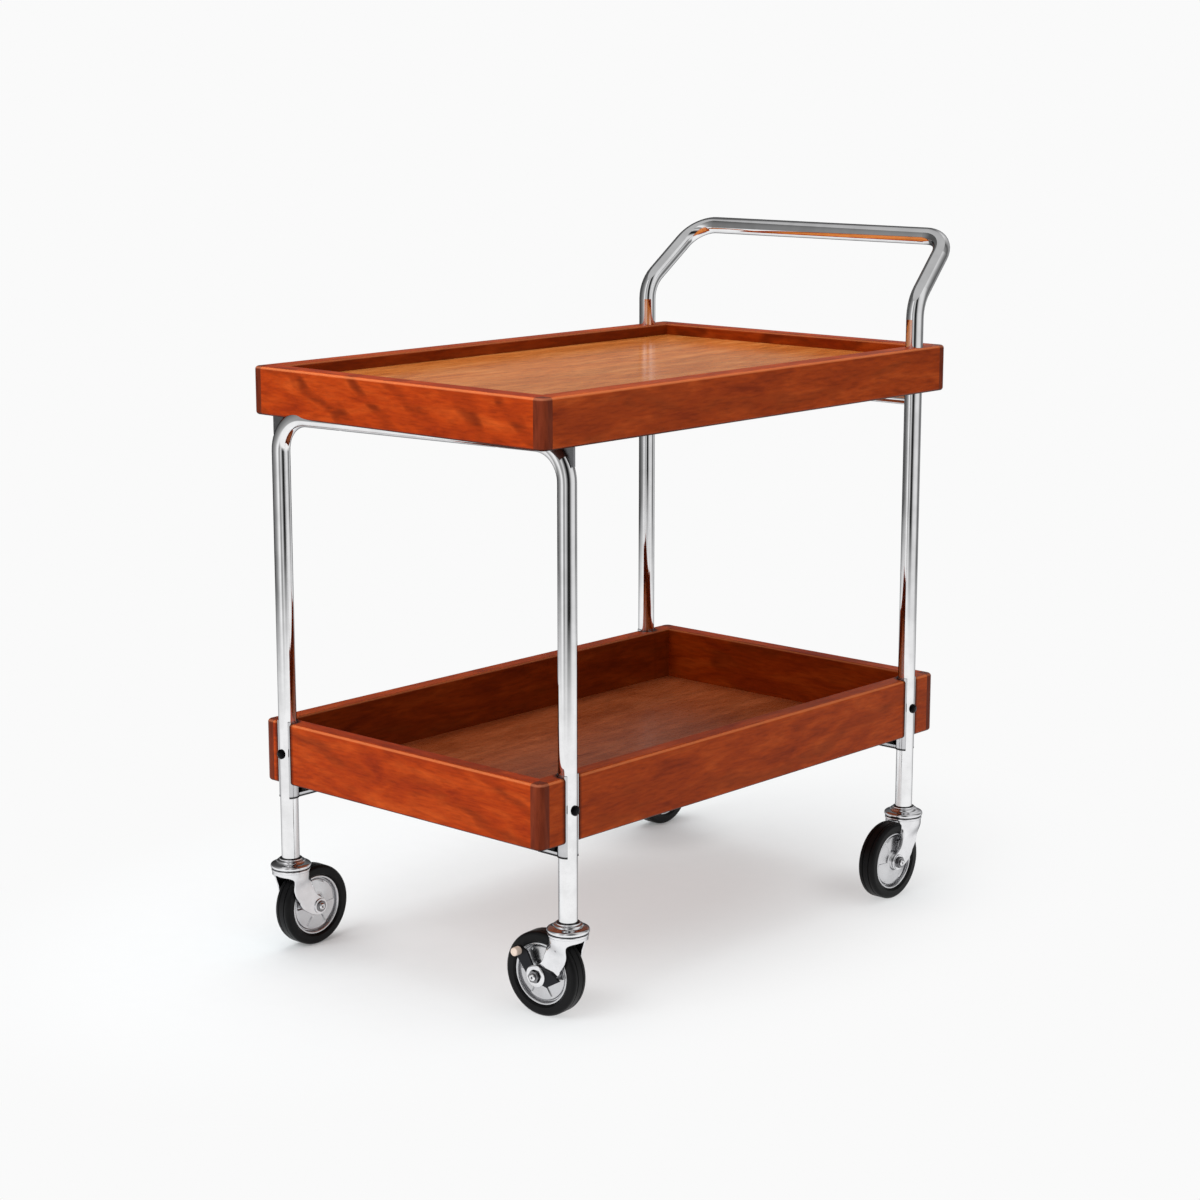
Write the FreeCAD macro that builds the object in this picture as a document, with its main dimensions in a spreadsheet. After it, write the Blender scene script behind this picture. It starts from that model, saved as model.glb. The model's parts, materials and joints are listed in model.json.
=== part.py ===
import FreeCAD, Part
import Sketcher
import math
import os
import re

# Serving cart with two wooden trays on a bent tube frame with four swivel casters.
# Millimetres, +Z up, origin on the floor under the middle of the whole cart.
# The handle is at +X, the front frame at -X, the left side at +Y.

doc = FreeCAD.newDocument("rolling_cart")

# Driving dimensions, each with the word that names it in every formula below.
SIZES = (
    ("tray_length", 750, "length of both trays"),
    ("leg_half_spacing", 224, "axes of the side legs from the middle plane"),
    ("leg_inset", 52, "axes of the side legs from the trays' end"),
    ("front_leg_margin", 34, "axis of the leg on the front from the lower tray's left end"),
    ("tube_od", 22, "frame tube, outside diameter"),
    ("tube_wall", 1.5, "frame tube, wall"),
    ("top_tray_bottom", 659, "top tray's lower edge above the floor"),
    ("top_tray_height", 58, "top tray's rails"),
    ("top_panel_drop", 15, "top tray's rim above its panel"),
    ("top_panel_thick", 6, "top tray's panel"),
    ("top_tongue_thick", 4, "top panel's tongue in the rails' grooves"),
    ("top_hole_wall", 2.5, "wood left on each side of a leg's hole in a top rail"),
    ("lower_tray_bottom", 210, "lower tray's lower edge above the floor"),
    ("lower_tray_height", 77, "lower tray's rails"),
    ("lower_panel_drop", 68, "lower tray's rim above its panel"),
    ("lower_panel_thick", 5, "lower tray's panel"),
    ("lower_tongue_thick", 3, "lower panel's tongue in the rails' grooves"),
    ("lower_rail_thick", 24, "lower tray's rails"),
    ("leg_sink", 6.5, "leg axis inside the lower tray's outer face"),
    ("post_size", 15, "corner post, square"),
    ("post_round", 9, "corner post's outer edge, radius"),
    ("edge_round", 4, "rim's outer edges, radius"),
    ("inner_round", 3, "rim's inner upper edge, radius"),
    ("groove_depth", 5, "groove that holds a panel"),
    ("panel_play", 0.5, "room for a panel to swell in its groove"),
    ("wood_fit", 0.15, "room around a tube in wood, on the radius"),
    ("front_bend", 42, "front frame's bends, on the axis"),
    ("front_run_lift", 1.5, "front run's axis above the top tray's edge"),
    ("handle_stand", 133, "push bar's axis above the top tray's rim"),
    ("handle_reach", 90, "push bar's axis behind the back legs"),
    ("handle_lean", 14, "slants' inward lean on each side"),
    ("handle_rise", 77, "push bar's axis above the height where the back legs lean back"),
    ("handle_low_bend", 45, "bend from leg to slant, on the axis"),
    ("handle_top_bend", 38, "bend from slant to push bar, on the axis"),
    ("bar_od", 16, "cross bar, outside diameter"),
    ("bar_wall", 1.5, "cross bar, wall"),
    ("saddle_thick", 1.2, "steel saddle between a leg and the lower tray"),
    ("saddle_fit", 0.05, "leg to saddle, on the radius"),
    ("saddle_stand", 2, "saddle above the lower tray's rim"),
    ("saddle_proud", 0.8, "saddle's edges beyond the lower tray's face"),
    ("saddle_reach", 38, "saddle's foot from the leg's axis"),
    ("saddle_width", 18, "saddle's foot, wide"),
    ("saddle_foot_thick", 5, "saddle's foot, thick"),
    ("saddle_pad_thick", 12, "rubber pad between a saddle's foot and the lower rail"),
    ("saddle_pad_inset", 1.5, "pad's edges within the foot's edges"),
    ("tab_thick", 3, "support tab on a front bend"),
    ("tab_drop", 22, "support tab below the top tray's edge"),
    ("tab_width", 24, "support tab across the rail"),
    ("cleat_length", 110, "cleat that rests on the front run"),
    ("cleat_width", 30, "cleat along the tray"),
    ("cleat_gap", 1, "cleat to the front rail"),
    ("cleat_lift", 2, "cleat's lower face above the run's axis"),
    ("leg_screw_dia", 4, "screw through a leg into the lower tray"),
    ("leg_screw_head", 12, "its round head, diameter"),
    ("leg_screw_head_rise", 3.5, "its round head, height"),
    ("leg_screw_level", 38.5, "its height above the lower tray's edge"),
    ("wood_left", 2, "wood left in front of a screw's point"),
    ("small_screw_dia", 3.6, "hidden screws under the top tray"),
    ("small_screw_head", 8, "their heads, diameter"),
    ("small_screw_head_rise", 2.4, "their heads, height"),
    ("run_left_margin", 96.5, "screw from the front run into the rail, from the left leg's axis"),
    ("run_right_margin", 94, "screw from the front run into the cleat, from the right leg's axis"),
    ("run_screw_bite", 18, "depth of those screws in the wood"),
    ("post_screw_level", 14, "screw into a back leg above the top tray's edge"),
    ("screw_fit", 0.1, "room around a screw in a tube, on the radius"),
    ("door_room", 0.5, "room around a screw's head in the run's lower wall, on the radius"),
    ("wheel_dia", 100, "wheel over its tyre"),
    ("wheel_trail", 32, "axle behind the swivel axis"),
    ("wheel_room", 1.5, "fork's crown above the wheel"),
    ("tyre_width", 24, "tyre"),
    ("tyre_depth", 12.5, "tyre, on the radius"),
    ("tyre_round", 4.5, "tyre's shoulders, radius"),
    ("tread_groove", 1.2, "tread groove, wide and deep"),
    ("tread_spacing", 9, "between the two tread grooves"),
    ("rim_inset", 2, "wheel's rim inside the tyre's side"),
    ("rim_lip", 3.5, "raised ring at the wheel's rim, on the radius"),
    ("dish_depth", 2.5, "wheel's dish below the raised ring"),
    ("hub_dia", 20, "wheel's hub"),
    ("hub_stand", 1.5, "hub's end beyond the tyre's side"),
    ("bush_dia", 12, "bush in the hub"),
    ("axle_dia", 8, "axle bolt"),
    ("axle_head_dia", 14, "axle bolt's head"),
    ("axle_head_rise", 3, "axle bolt's head"),
    ("axle_head_edge", 0.8, "head's bevel"),
    ("nut_dia", 15, "axle nut across its corners"),
    ("nut_rise", 5, "axle nut"),
    ("axle_end", 1, "bolt beyond its nut"),
    ("turn_fit", 0.05, "running fit, on the radius"),
    ("side_play", 0.5, "hub's end to fork arm"),
    ("arm_thick", 2.5, "fork arm"),
    ("arm_width", 30, "fork arm under the hood"),
    ("arm_shift", 4, "fork arm's middle behind the swivel axis"),
    ("arm_back_rise", 23, "fork arm's back corner above the axle"),
    ("arm_front_rise", 22, "fork arm's front corner above the axle"),
    ("boss_dia", 22, "fork arm's round end"),
    ("arm_bend", 8, "fork arm's corners, radius"),
    ("crown_thick", 2, "fork's crown"),
    ("hood_dia", 46, "fork's hood at the crown"),
    ("hood_low_dia", 36, "fork's hood at its lower end"),
    ("hood_depth", 30, "fork's hood"),
    ("hood_front_wall", 4.5, "hood's front"),
    ("arch_drop", 9, "front arch's top below the crown"),
    ("race_gap", 0.5, "crown to cap"),
    ("cap_dia", 50, "swivel cap"),
    ("cap_rise", 6, "swivel cap's edge"),
    ("cap_round", 2.8, "swivel cap's edge, radius"),
    ("neck_low_dia", 33, "swivel cap's neck at its foot"),
    ("neck_top_dia", 25, "swivel cap's neck at its top"),
    ("neck_rise", 5, "swivel cap's neck"),
    ("ball_dia", 4, "bearing ball"),
    ("ball_ring_dia", 30, "ring of balls"),
    ("ball_room", 0.3, "ball to the wall of its channel"),
    ("stem_dia", 10, "swivel stem"),
    ("stem_rise", 25, "stem inside the leg"),
    ("stem_head_dia", 16, "stem's head under the crown"),
    ("stem_head_rise", 2.5, "stem's head"),
    ("ferrule_lip", 1.4, "ferrule beyond the tube"),
    ("ferrule_rise", 2, "ferrule's flange"),
    ("ferrule_depth", 30, "ferrule's sleeve inside the leg"),
    ("lever_thick", 2.5, "brake lever"),
    ("lever_play", 0.3, "lever to fork arm and to nut"),
    ("lever_reach", 39, "lever's knob from the axle"),
    ("lever_eye_dia", 22, "lever's eye"),
    ("knob_dia", 10, "lever's knob"),
    ("knob_length", 9, "lever's knob"),
    ("knob_round", 1.5, "lever's knob, edge radius"),
)

# Sizes that follow from the driving ones.
FORMULAS = (
    ("half_length", "tray_length / 2"),
    ("tube_radius", "tube_od / 2"),
    ("tray_middle", "(leg_inset - leg_sink + cap_dia / 2 - handle_reach - tube_radius) / 2"),
    ("leg_offset", "half_length - leg_inset"),
    ("tray_front", "tray_middle - half_length"),
    ("front_left_x", "tray_front + leg_sink"),
    ("front_right_x", "tray_middle - leg_offset"),
    ("back_leg_x", "tray_middle + leg_offset"),
    ("tube_bore", "tube_radius - tube_wall"),
    ("bar_radius", "bar_od / 2"),
    ("saddle_radius", "tube_radius + saddle_fit + saddle_thick"),
    ("run_seat_rise", "sqrt(tube_bore ^ 2 - (small_screw_head / 2) ^ 2) - turn_fit"),
    ("top_rail_thick", "tube_od + 2 * top_hole_wall"),
    ("top_half_width", "leg_half_spacing + tube_radius + top_hole_wall"),
    ("lower_half_width", "leg_half_spacing + leg_sink"),
    ("front_left_y", "lower_half_width - front_leg_margin"),
    ("run_slope", "(front_left_x - front_right_x) / (front_left_y + leg_half_spacing)"),
    ("run_screw_left", "front_left_y - run_left_margin"),
    ("run_screw_right", "leg_half_spacing - run_right_margin"),
    ("run_left_x", "front_right_x + run_slope * (leg_half_spacing + run_screw_left)"),
    ("run_right_x", "front_right_x + run_slope * (leg_half_spacing - run_screw_right)"),
    ("top_panel_low", "top_tray_height - top_panel_drop - top_panel_thick"),
    ("lower_panel_low", "lower_tray_height - lower_panel_drop - lower_panel_thick"),
    ("handle_z", "top_tray_bottom + top_tray_height + handle_stand"),
    ("front_run_z", "top_tray_bottom + front_run_lift"),
    ("leg_screw_z", "lower_tray_bottom + leg_screw_level"),
    ("post_screw_z", "top_tray_bottom + post_screw_level"),
    ("axle_z", "wheel_dia / 2"),
    ("crown_low", "wheel_dia + wheel_room"),
    ("crown_top", "crown_low + crown_thick"),
    ("cap_low", "crown_top + race_gap"),
    ("cap_high", "cap_low + cap_rise"),
    ("cap_top", "cap_high + neck_rise"),
    ("leg_foot", "cap_top + ferrule_rise"),
    ("rim_radius", "wheel_dia / 2 - tyre_depth"),
    ("rim_half", "tyre_width / 2 - rim_inset"),
    ("dish_half", "rim_half - dish_depth"),
    ("hub_half", "tyre_width / 2 + hub_stand"),
    ("arm_inner", "hub_half + side_play"),
    ("arm_outer", "arm_inner + arm_thick"),
    ("lever_inner", "arm_outer + lever_play"),
    ("lever_stack", "lever_thick + 2 * lever_play"),
    ("hood_low", "crown_top - hood_depth"),
    ("stem_head_top", "crown_low - race_gap"),
    ("ball_z", "crown_top + turn_fit + ball_dia / 2"),
)

sheet = doc.addObject("Spreadsheet::Sheet", "Sheet")
for row, (word, number, note) in enumerate(SIZES, 1):
    sheet.set("A%d" % row, note)
    sheet.set("B%d" % row, str(number))
    sheet.setAlias("B%d" % row, word)

OWNER = {word: "Sheet" for word, number, note in SIZES}
OWNER.update({word: "Derived" for word, formula in FORMULAS})


def linked(formula):
    """Write each dimension's word in a formula as a reference to its cell."""
    def reference(match):
        word = match.group(0)
        if word in OWNER:
            return OWNER[word] + "." + word
        return word
    return re.sub(r"[a-z_]+", reference, formula)


derived = doc.addObject("Spreadsheet::Sheet", "Derived")
for row, (word, formula) in enumerate(FORMULAS, 1):
    derived.set("A%d" % row, word)
    derived.set("B%d" % row, "=" + linked(formula))
    derived.setAlias("B%d" % row, word)
doc.recompute()


def size(word):
    """The number a dimension's word stands for."""
    return float(doc.getObject(OWNER[word]).get(word))


UP = FreeCAD.Vector(0, 0, 1)
ALONG_X = FreeCAD.Rotation(FreeCAD.Vector(0, 1, 0), 90)
ALONG_Y = FreeCAD.Rotation(FreeCAD.Vector(1, 0, 0), -90)
SAME = 1e-4
nodes = []


def node(piece, label):
    """Give a finished piece the name its file gets."""
    piece.Label = label
    nodes.append(piece)
    return piece


def bind(piece, **formulas):
    """Tie properties of a piece to formulas; base_x and the like stand for its place."""
    for name, formula in formulas.items():
        if name.startswith("base_"):
            name = "Placement.Base." + name[-1]
        piece.setExpression(name, linked(formula))
    return piece


def turned(angle):
    """A turn about the vertical, in degrees."""
    return FreeCAD.Rotation(UP, angle)


def box(name, **formulas):
    return bind(doc.addObject("Part::Box", name), **formulas)


def rod(name, radius, length, direction=None, **formulas):
    """A cylinder along Z, or along the direction given."""
    piece = doc.addObject("Part::Cylinder", name)
    if direction is not None:
        piece.Placement.Rotation = direction
    return bind(piece, Radius=radius, Height=length, **formulas)


def cut(name, base, *tools):
    """Base less every tool, one after the other."""
    for number, tool in enumerate(tools):
        piece = doc.addObject("Part::Cut", "%s_less_%d" % (name, number))
        piece.Base = base
        piece.Tool = tool
        base = piece
    return base


def fuse(name, base, *others):
    """Base joined with every other, one after the other."""
    for number, other in enumerate(others):
        piece = doc.addObject("Part::Fuse", "%s_with_%d" % (name, number))
        piece.Base = base
        piece.Tool = other
        piece.Refine = True
        base = piece
    return base


def group(name, pieces):
    """Separate solids that share one node."""
    piece = doc.addObject("Part::Compound", name)
    piece.Links = pieces
    return piece


def new_body(name):
    return doc.addObject("PartDesign::Body", name)


def new_sketch(body, plane, name):
    """A sketch on one of the body's own origin planes."""
    sketch = body.newObject("Sketcher::SketchObject", name)
    planes = {feature.Role: feature for feature in body.Origin.OriginFeatures}
    sketch.AttachmentSupport = [(planes[plane], "")]
    sketch.MapMode = "FlatFace"
    return sketch


def hold(sketch, geometry, position, point):
    """Fix a point of the sketch at a place given by two formulas."""
    for kind, formula in zip(("DistanceX", "DistanceY"), point):
        number = sketch.addConstraint(Sketcher.Constraint(kind, -1, 1, geometry, position, 1.0))
        sketch.setExpression("Constraints[%d]" % number, linked(formula))


def outline(body, plane, points, name):
    """A closed outline through points given as pairs of formulas."""
    sketch = new_sketch(body, plane, name)
    count = len(points)
    turn = 2 * math.pi / count
    start = [FreeCAD.Vector(math.cos(i * turn), math.sin(i * turn), 0) for i in range(count)]
    for i in range(count):
        sketch.addGeometry(Part.LineSegment(start[i], start[(i + 1) % count]), False)
    for i in range(count):
        sketch.addConstraint(Sketcher.Constraint("Coincident", i, 2, (i + 1) % count, 1))
    for i in range(count):
        hold(sketch, i, 1, points[i])
    return sketch


def circles(body, plane, centres, radius, name):
    """Circles of one radius about centres given as pairs of formulas."""
    sketch = new_sketch(body, plane, name)
    for i, centre in enumerate(centres):
        sketch.addGeometry(Part.Circle(FreeCAD.Vector(i, 0, 0), UP, 1.0), False)
        number = sketch.addConstraint(Sketcher.Constraint("Radius", i, 1.0))
        sketch.setExpression("Constraints[%d]" % number, linked(radius))
        hold(sketch, i, 3, centre)
    return sketch


def pad(body, sketch, length, name, both_ways=False):
    feature = body.newObject("PartDesign::Pad", name)
    feature.Profile = sketch
    feature.SideType = "Symmetric" if both_ways else "One side"
    bind(feature, Length=length)
    doc.recompute()
    return feature


def pocket(body, sketch, name, depth=None):
    """Cut a sketch out of a body, right through or to a depth, and make sure it took wood away."""
    before = body.Shape.Volume
    feature = body.newObject("PartDesign::Pocket", name)
    feature.Profile = sketch
    if depth is None:
        feature.Type = "ThroughAll"
        feature.SideType = "Symmetric"
    else:
        bind(feature, Length=depth)
    doc.recompute()
    if body.Shape.Volume > before - SAME:
        feature.Reversed = True
        doc.recompute()
    if body.Shape.Volume > before - SAME:
        raise RuntimeError(name + " cuts nothing")
    return feature


def revolve(name, points):
    """A body turned about its own Z from an outline of (radius, height) formulas."""
    body = new_body(name)
    sketch = outline(body, "XZ_Plane", points, name + "_outline")
    feature = body.newObject("PartDesign::Revolution", name + "_turned")
    feature.Profile = sketch
    feature.ReferenceAxis = (sketch, ["V_Axis"])
    feature.Angle = 360
    doc.recompute()
    return body


def round_edges(body, radius, wanted, name):
    """Round those edges of a body that the test picks."""
    base = body.Tip
    edges = ["Edge%d" % i for i, edge in enumerate(base.Shape.Edges, 1) if wanted(edge)]
    feature = body.newObject("PartDesign::Fillet", name)
    feature.Base = (base, edges)
    bind(feature, Radius=radius)
    doc.recompute()
    return feature


def near(a, b):
    return abs(a - b) < SAME


# Trays. Every rail lies along its own X with its outer face on Y = 0 and its lower edge on Z = 0.
# A corner post fills the outer corner; behind it two rails meet in a mitre.
def rail(tray, side, half):
    label = "%s_tray_%s_rail" % (tray, side)
    thick = tray + "_rail_thick"
    height = tray + "_tray_height"
    low = tray + "_panel_low"
    body = new_body(label + "_wood")
    butt = "%s - post_size" % half
    mitre = "%s - %s" % (half, thick)
    plan = outline(body, "XY_Plane", (
        ("-(%s)" % butt, "0"),
        (butt, "0"),
        (butt, "-post_size"),
        (mitre, "-" + thick),
        ("-(%s)" % mitre, "-" + thick),
        ("-(%s)" % butt, "-post_size"),
    ), label + "_plan")
    pad(body, plan, height, label + "_board")
    top = size(height)
    inner = -size(thick)

    def outer_edge(edge):
        bounds = edge.BoundBox
        flat = near(bounds.ZMin, bounds.ZMax) and (near(bounds.ZMin, 0) or near(bounds.ZMin, top))
        return flat and near(bounds.YMin, 0) and near(bounds.YMax, 0)

    def inner_edge(edge):
        bounds = edge.BoundBox
        return near(bounds.ZMin, top) and near(bounds.YMin, inner) and near(bounds.YMax, inner)

    round_edges(body, "edge_round", outer_edge, label + "_outer_round")
    round_edges(body, "inner_round", inner_edge, label + "_inner_round")
    groove_floor = "groove_depth - " + thick
    groove_top = "%s + %s_tongue_thick" % (low, tray)
    groove = outline(body, "YZ_Plane", (
        ("-%s - groove_depth" % thick, low),
        (groove_floor, low),
        (groove_floor, groove_top),
        ("-%s - groove_depth" % thick, groove_top),
    ), label + "_groove_section")
    pocket(body, groove, label + "_groove")
    return body


def set_tray(tray):
    """The four rails, the four corner posts and the panel of one tray."""
    width = size(tray + "_half_width")
    front = size("tray_middle") - size("half_length")
    middle = size("tray_middle")
    back = size("tray_middle") + size("half_length")
    level = size(tray + "_tray_bottom")
    rails = {}
    for side, angle, x, y, half in (
        ("left", 0, middle, width, "half_length"),
        ("right", 180, middle, -width, "half_length"),
        ("front", 90, front, 0, tray + "_half_width"),
        ("back", -90, back, 0, tray + "_half_width"),
    ):
        rails[side] = rail(tray, side, half)
        rails[side].Placement = FreeCAD.Placement(FreeCAD.Vector(x, y, level), turned(angle))
    for corner, angle, x, y in (
        ("back_left", 0, back, width),
        ("front_left", 90, front, width),
        ("front_right", 180, front, -width),
        ("back_right", 270, back, -width),
    ):
        post = corner_post(tray, corner)
        post.Placement = FreeCAD.Placement(FreeCAD.Vector(x, y, level), turned(angle))
        node(post, "%s_tray_post_%s" % (tray, corner))
    return rails


def corner_post(tray, corner):
    """A post with its outer corner on its own origin."""
    label = "%s_post_%s" % (tray, corner)
    body = new_body(label)
    plan = outline(body, "XY_Plane", (
        ("0", "0"),
        ("-post_size", "0"),
        ("-post_size", "-post_size"),
        ("0", "-post_size"),
    ), label + "_plan")
    pad(body, plan, tray + "_tray_height", label + "_stick")
    top = size(tray + "_tray_height")
    side = size("post_size")

    def outer_corner(edge):
        bounds = edge.BoundBox
        return near(bounds.XMin, 0) and near(bounds.YMin, 0)

    def outer_end(edge):
        bounds = edge.BoundBox
        flat = near(bounds.ZMin, bounds.ZMax) and (near(bounds.ZMin, 0) or near(bounds.ZMin, top))
        return flat and not near(bounds.XMax, -side) and not near(bounds.YMax, -side)

    round_edges(body, "post_round", outer_corner, label + "_corner_round")
    round_edges(body, "edge_round", outer_end, label + "_end_round")
    return body


def panel_board(name, tray, reach, thick):
    """A board in the middle of a tray that ends beyond or before the rails' inner faces."""
    long_half = "half_length - %s_rail_thick + %s" % (tray, reach)
    wide_half = "%s_half_width - %s_rail_thick + %s" % (tray, tray, reach)
    return box(
        name,
        Length="2 * (%s)" % long_half,
        Width="2 * (%s)" % wide_half,
        Height=thick,
        base_x="tray_middle - (%s)" % long_half,
        base_y="-(%s)" % wide_half,
        base_z="%s_tray_bottom + %s_panel_low" % (tray, tray),
    )


def panel(tray):
    """A panel whose thin tongue is held in the rails' grooves."""
    tongue = panel_board(tray + "_tongue", tray, "groove_depth - panel_play", tray + "_tongue_thick")
    field = panel_board(tray + "_field", tray, "0 - panel_play", tray + "_panel_thick")
    return fuse(tray + "_panel_board", tongue, field)


# Each leg's axis. The left front leg stands on the trays' front, the others stand on their sides.
LEGS = {
    "front_left": ("front_left_x", "front_left_y"),
    "front_right": ("front_right_x", "-leg_half_spacing"),
    "back_left": ("back_leg_x", "leg_half_spacing"),
    "back_right": ("back_leg_x", "-leg_half_spacing"),
}
# The way each leg's screw head looks, and where each wheel trails in degrees from +X.
OUTWARD = {
    "front_left": FreeCAD.Vector(-1, 0, 0),
    "front_right": FreeCAD.Vector(0, -1, 0),
    "back_left": FreeCAD.Vector(0, 1, 0),
    "back_right": FreeCAD.Vector(0, -1, 0),
}
HEADINGS = {"front_left": 0, "front_right": 95, "back_left": 0, "back_right": 180}


def reading(formula):
    """The number that a signed word stands for."""
    return -size(formula[1:]) if formula.startswith("-") else size(formula)


def leg_point(leg, z):
    """The point of a leg's axis at that height."""
    x, y = LEGS[leg]
    return FreeCAD.Vector(reading(x), reading(y), z)


def pointing(direction):
    """The turn that lays an upright piece along a direction."""
    return FreeCAD.Rotation(UP, direction)


top_rails = set_tray("top")
lower_rails = set_tray("lower")
for side, place in (("left", "leg_offset"), ("right", "-leg_offset")):
    # The back leg goes up through the top rail, held by a hidden screw from the rail's inner face.
    body = top_rails[side]
    hole = circles(body, "XY_Plane", (
        (place, "-(top_hole_wall + tube_radius)"),
    ), "tube_radius + wood_fit", "top_leg_hole_" + side)
    pocket(body, hole, "top_leg_bore_" + side)
    pilot = rod(
        "top_pilot_" + side,
        "small_screw_dia / 2",
        "2 * leg_half_spacing",
        ALONG_Y,
        base_x="back_leg_x",
        base_y="-leg_half_spacing",
        base_z="post_screw_z",
    )
    top_rails[side] = cut("top_rail_" + side, body, pilot)
# The legs lie half sunk in the lower rails' outer faces, each in a saddle and with a screw.
for side, places in (
    ("left", ("leg_offset",)),
    ("right", ("-leg_offset", "leg_offset")),
    ("front", ("front_left_y",)),
):
    body = lower_rails[side]
    seats = circles(
        body,
        "XY_Plane",
        [(place, "-leg_sink") for place in places],
        "saddle_radius + wood_fit",
        "lower_leg_seats_" + side,
    )
    pocket(body, seats, "lower_leg_grooves_" + side)
    pilots = circles(
        body,
        "XZ_Plane",
        [(place, "leg_screw_level") for place in places],
        "leg_screw_dia / 2",
        "lower_pilots_" + side,
    )
    pocket(body, pilots, "lower_pilot_bores_" + side, "lower_rail_thick - wood_left")


def leg_rod(name, leg, radius, low, high):
    """An upright cylinder on a leg's axis."""
    x, y = LEGS[leg]
    return rod(name, radius, "%s - (%s)" % (high, low), base_x=x, base_y=y, base_z=low)


top_rim = "top_tray_bottom + top_tray_height"
notches = [
    leg_rod("panel_notch_" + leg, leg, "tube_radius + wood_fit + panel_play", "top_tray_bottom", top_rim)
    for leg in ("back_left", "back_right")
]
node(cut("top_panel", panel("top"), *notches), "top_tray_panel")
node(panel("lower"), "lower_tray_panel")


# Frame. Each tube is swept along its own axis.
def rounded_path(name, corners, bends):
    """A wire through corner points, with an arc of the bend's radius at each inner one."""
    edges = []
    last = corners[0]
    for before, corner, after, bend in zip(corners, corners[1:], corners[2:], bends):
        back = (before - corner).normalize()
        ahead = (after - corner).normalize()
        half = back.getAngle(ahead) / 2
        start = corner + back * (bend / math.tan(half))
        end = corner + ahead * (bend / math.tan(half))
        middle = corner + (back + ahead).normalize() * (bend / math.sin(half) - bend)
        edges.append(Part.makeLine(last, start))
        edges.append(Part.Arc(start, middle, end).toShape())
        last = end
    edges.append(Part.makeLine(last, corners[-1]))
    path = doc.addObject("Part::Feature", name)
    path.Shape = Part.Wire(edges)
    return path


def swept(name, path, radius):
    """A round rod along a path that starts upward."""
    ring = doc.addObject("Part::Circle", name + "_ring")
    ring.Placement.Base = path.Shape.OrderedVertexes[0].Point
    bind(ring, Radius=radius)
    sweep = doc.addObject("Part::Sweep", name)
    sweep.Sections = [ring]
    sweep.Spine = (path, [])
    sweep.Solid = True
    sweep.Frenet = False
    return sweep


def across_rod(name, radius, half, x, z):
    """A cylinder across the cart, from one side to the other."""
    return rod(name, radius, "2 * (%s)" % half, ALONG_Y, base_x=x, base_y="-(%s)" % half, base_z=z)


leg_y = size("leg_half_spacing")
foot = size("leg_foot")
run_z = size("front_run_z")
back_x = size("back_leg_x")
front_path = rounded_path("front_path", [
    leg_point("front_left", foot),
    leg_point("front_left", run_z),
    leg_point("front_right", run_z),
    leg_point("front_right", foot),
], [size("front_bend")] * 2)
grip_x = back_x + size("handle_reach")
grip_y = leg_y - size("handle_lean")
grip_z = size("handle_z")
slant_z = grip_z - size("handle_rise")
low_bend = size("handle_low_bend")
top_bend = size("handle_top_bend")
back_path = rounded_path("back_path", [
    leg_point("back_left", foot),
    leg_point("back_left", slant_z),
    FreeCAD.Vector(grip_x, grip_y, grip_z),
    FreeCAD.Vector(grip_x, -grip_y, grip_z),
    leg_point("back_right", slant_z),
    leg_point("back_right", foot),
], [low_bend, top_bend, top_bend, low_bend])

leg_screw_hole = "leg_screw_dia / 2 + screw_fit"
small_screw_hole = "small_screw_dia / 2 + screw_fit"
run_door = "small_screw_head / 2 + door_room"
RUN_SCREWS = {"left": ("run_left_x", "run_screw_left"), "right": ("run_right_x", "-run_screw_right")}


def leg_screw_bore(leg):
    """A bore right through a leg, along its screw."""
    bore = rod("leg_screw_bore_" + leg, leg_screw_hole, "2 * tube_od", pointing(OUTWARD[leg]))
    bore.Placement.Base = leg_point(leg, size("leg_screw_z")) - OUTWARD[leg] * size("tube_od")
    return bore


def run_rod(name, side, radius, low, length):
    """An upright cylinder on one of the front run's screws."""
    x, y = RUN_SCREWS[side]
    return rod(name, radius, length, base_x=x, base_y=y, base_z=low)


front_skin = swept("front_skin", front_path, "tube_radius")
node(cut(
    "front_tube",
    front_skin,
    swept("front_bore", front_path, "tube_bore"),
    leg_screw_bore("front_left"),
    leg_screw_bore("front_right"),
    *[run_rod("run_hole_" + side, side, small_screw_hole, "front_run_z", "tube_od") for side in RUN_SCREWS],
    *[run_rod("run_door_" + side, side, run_door, "front_run_z - tube_od", "tube_od") for side in RUN_SCREWS],
), "front_frame_tube")
node(cut(
    "back_tube",
    swept("back_skin", back_path, "tube_radius"),
    swept("back_bore", back_path, "tube_bore"),
    leg_screw_bore("back_left"),
    leg_screw_bore("back_right"),
    across_rod("post_screw_hole", small_screw_hole, "leg_half_spacing", "back_leg_x", "post_screw_z"),
), "back_frame_tube")

# The front run lies half sunk under the top tray's front and right rails. The front one takes its left screw.
run_seat = swept("run_seat", front_path, "tube_radius + wood_fit")
rail_pilot = run_rod(
    "rail_pilot", "left", "small_screw_dia / 2", "front_run_z", "tube_radius + run_screw_bite")
top_rails["front"] = cut("top_rail_front", top_rails["front"], run_seat, rail_pilot)
top_rails["right"] = cut("top_rail_right_seat", top_rails["right"], run_seat)
for tray, rails in (("top", top_rails), ("lower", lower_rails)):
    for side, piece in rails.items():
        node(piece, "%s_tray_%s_rail" % (tray, side))


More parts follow.
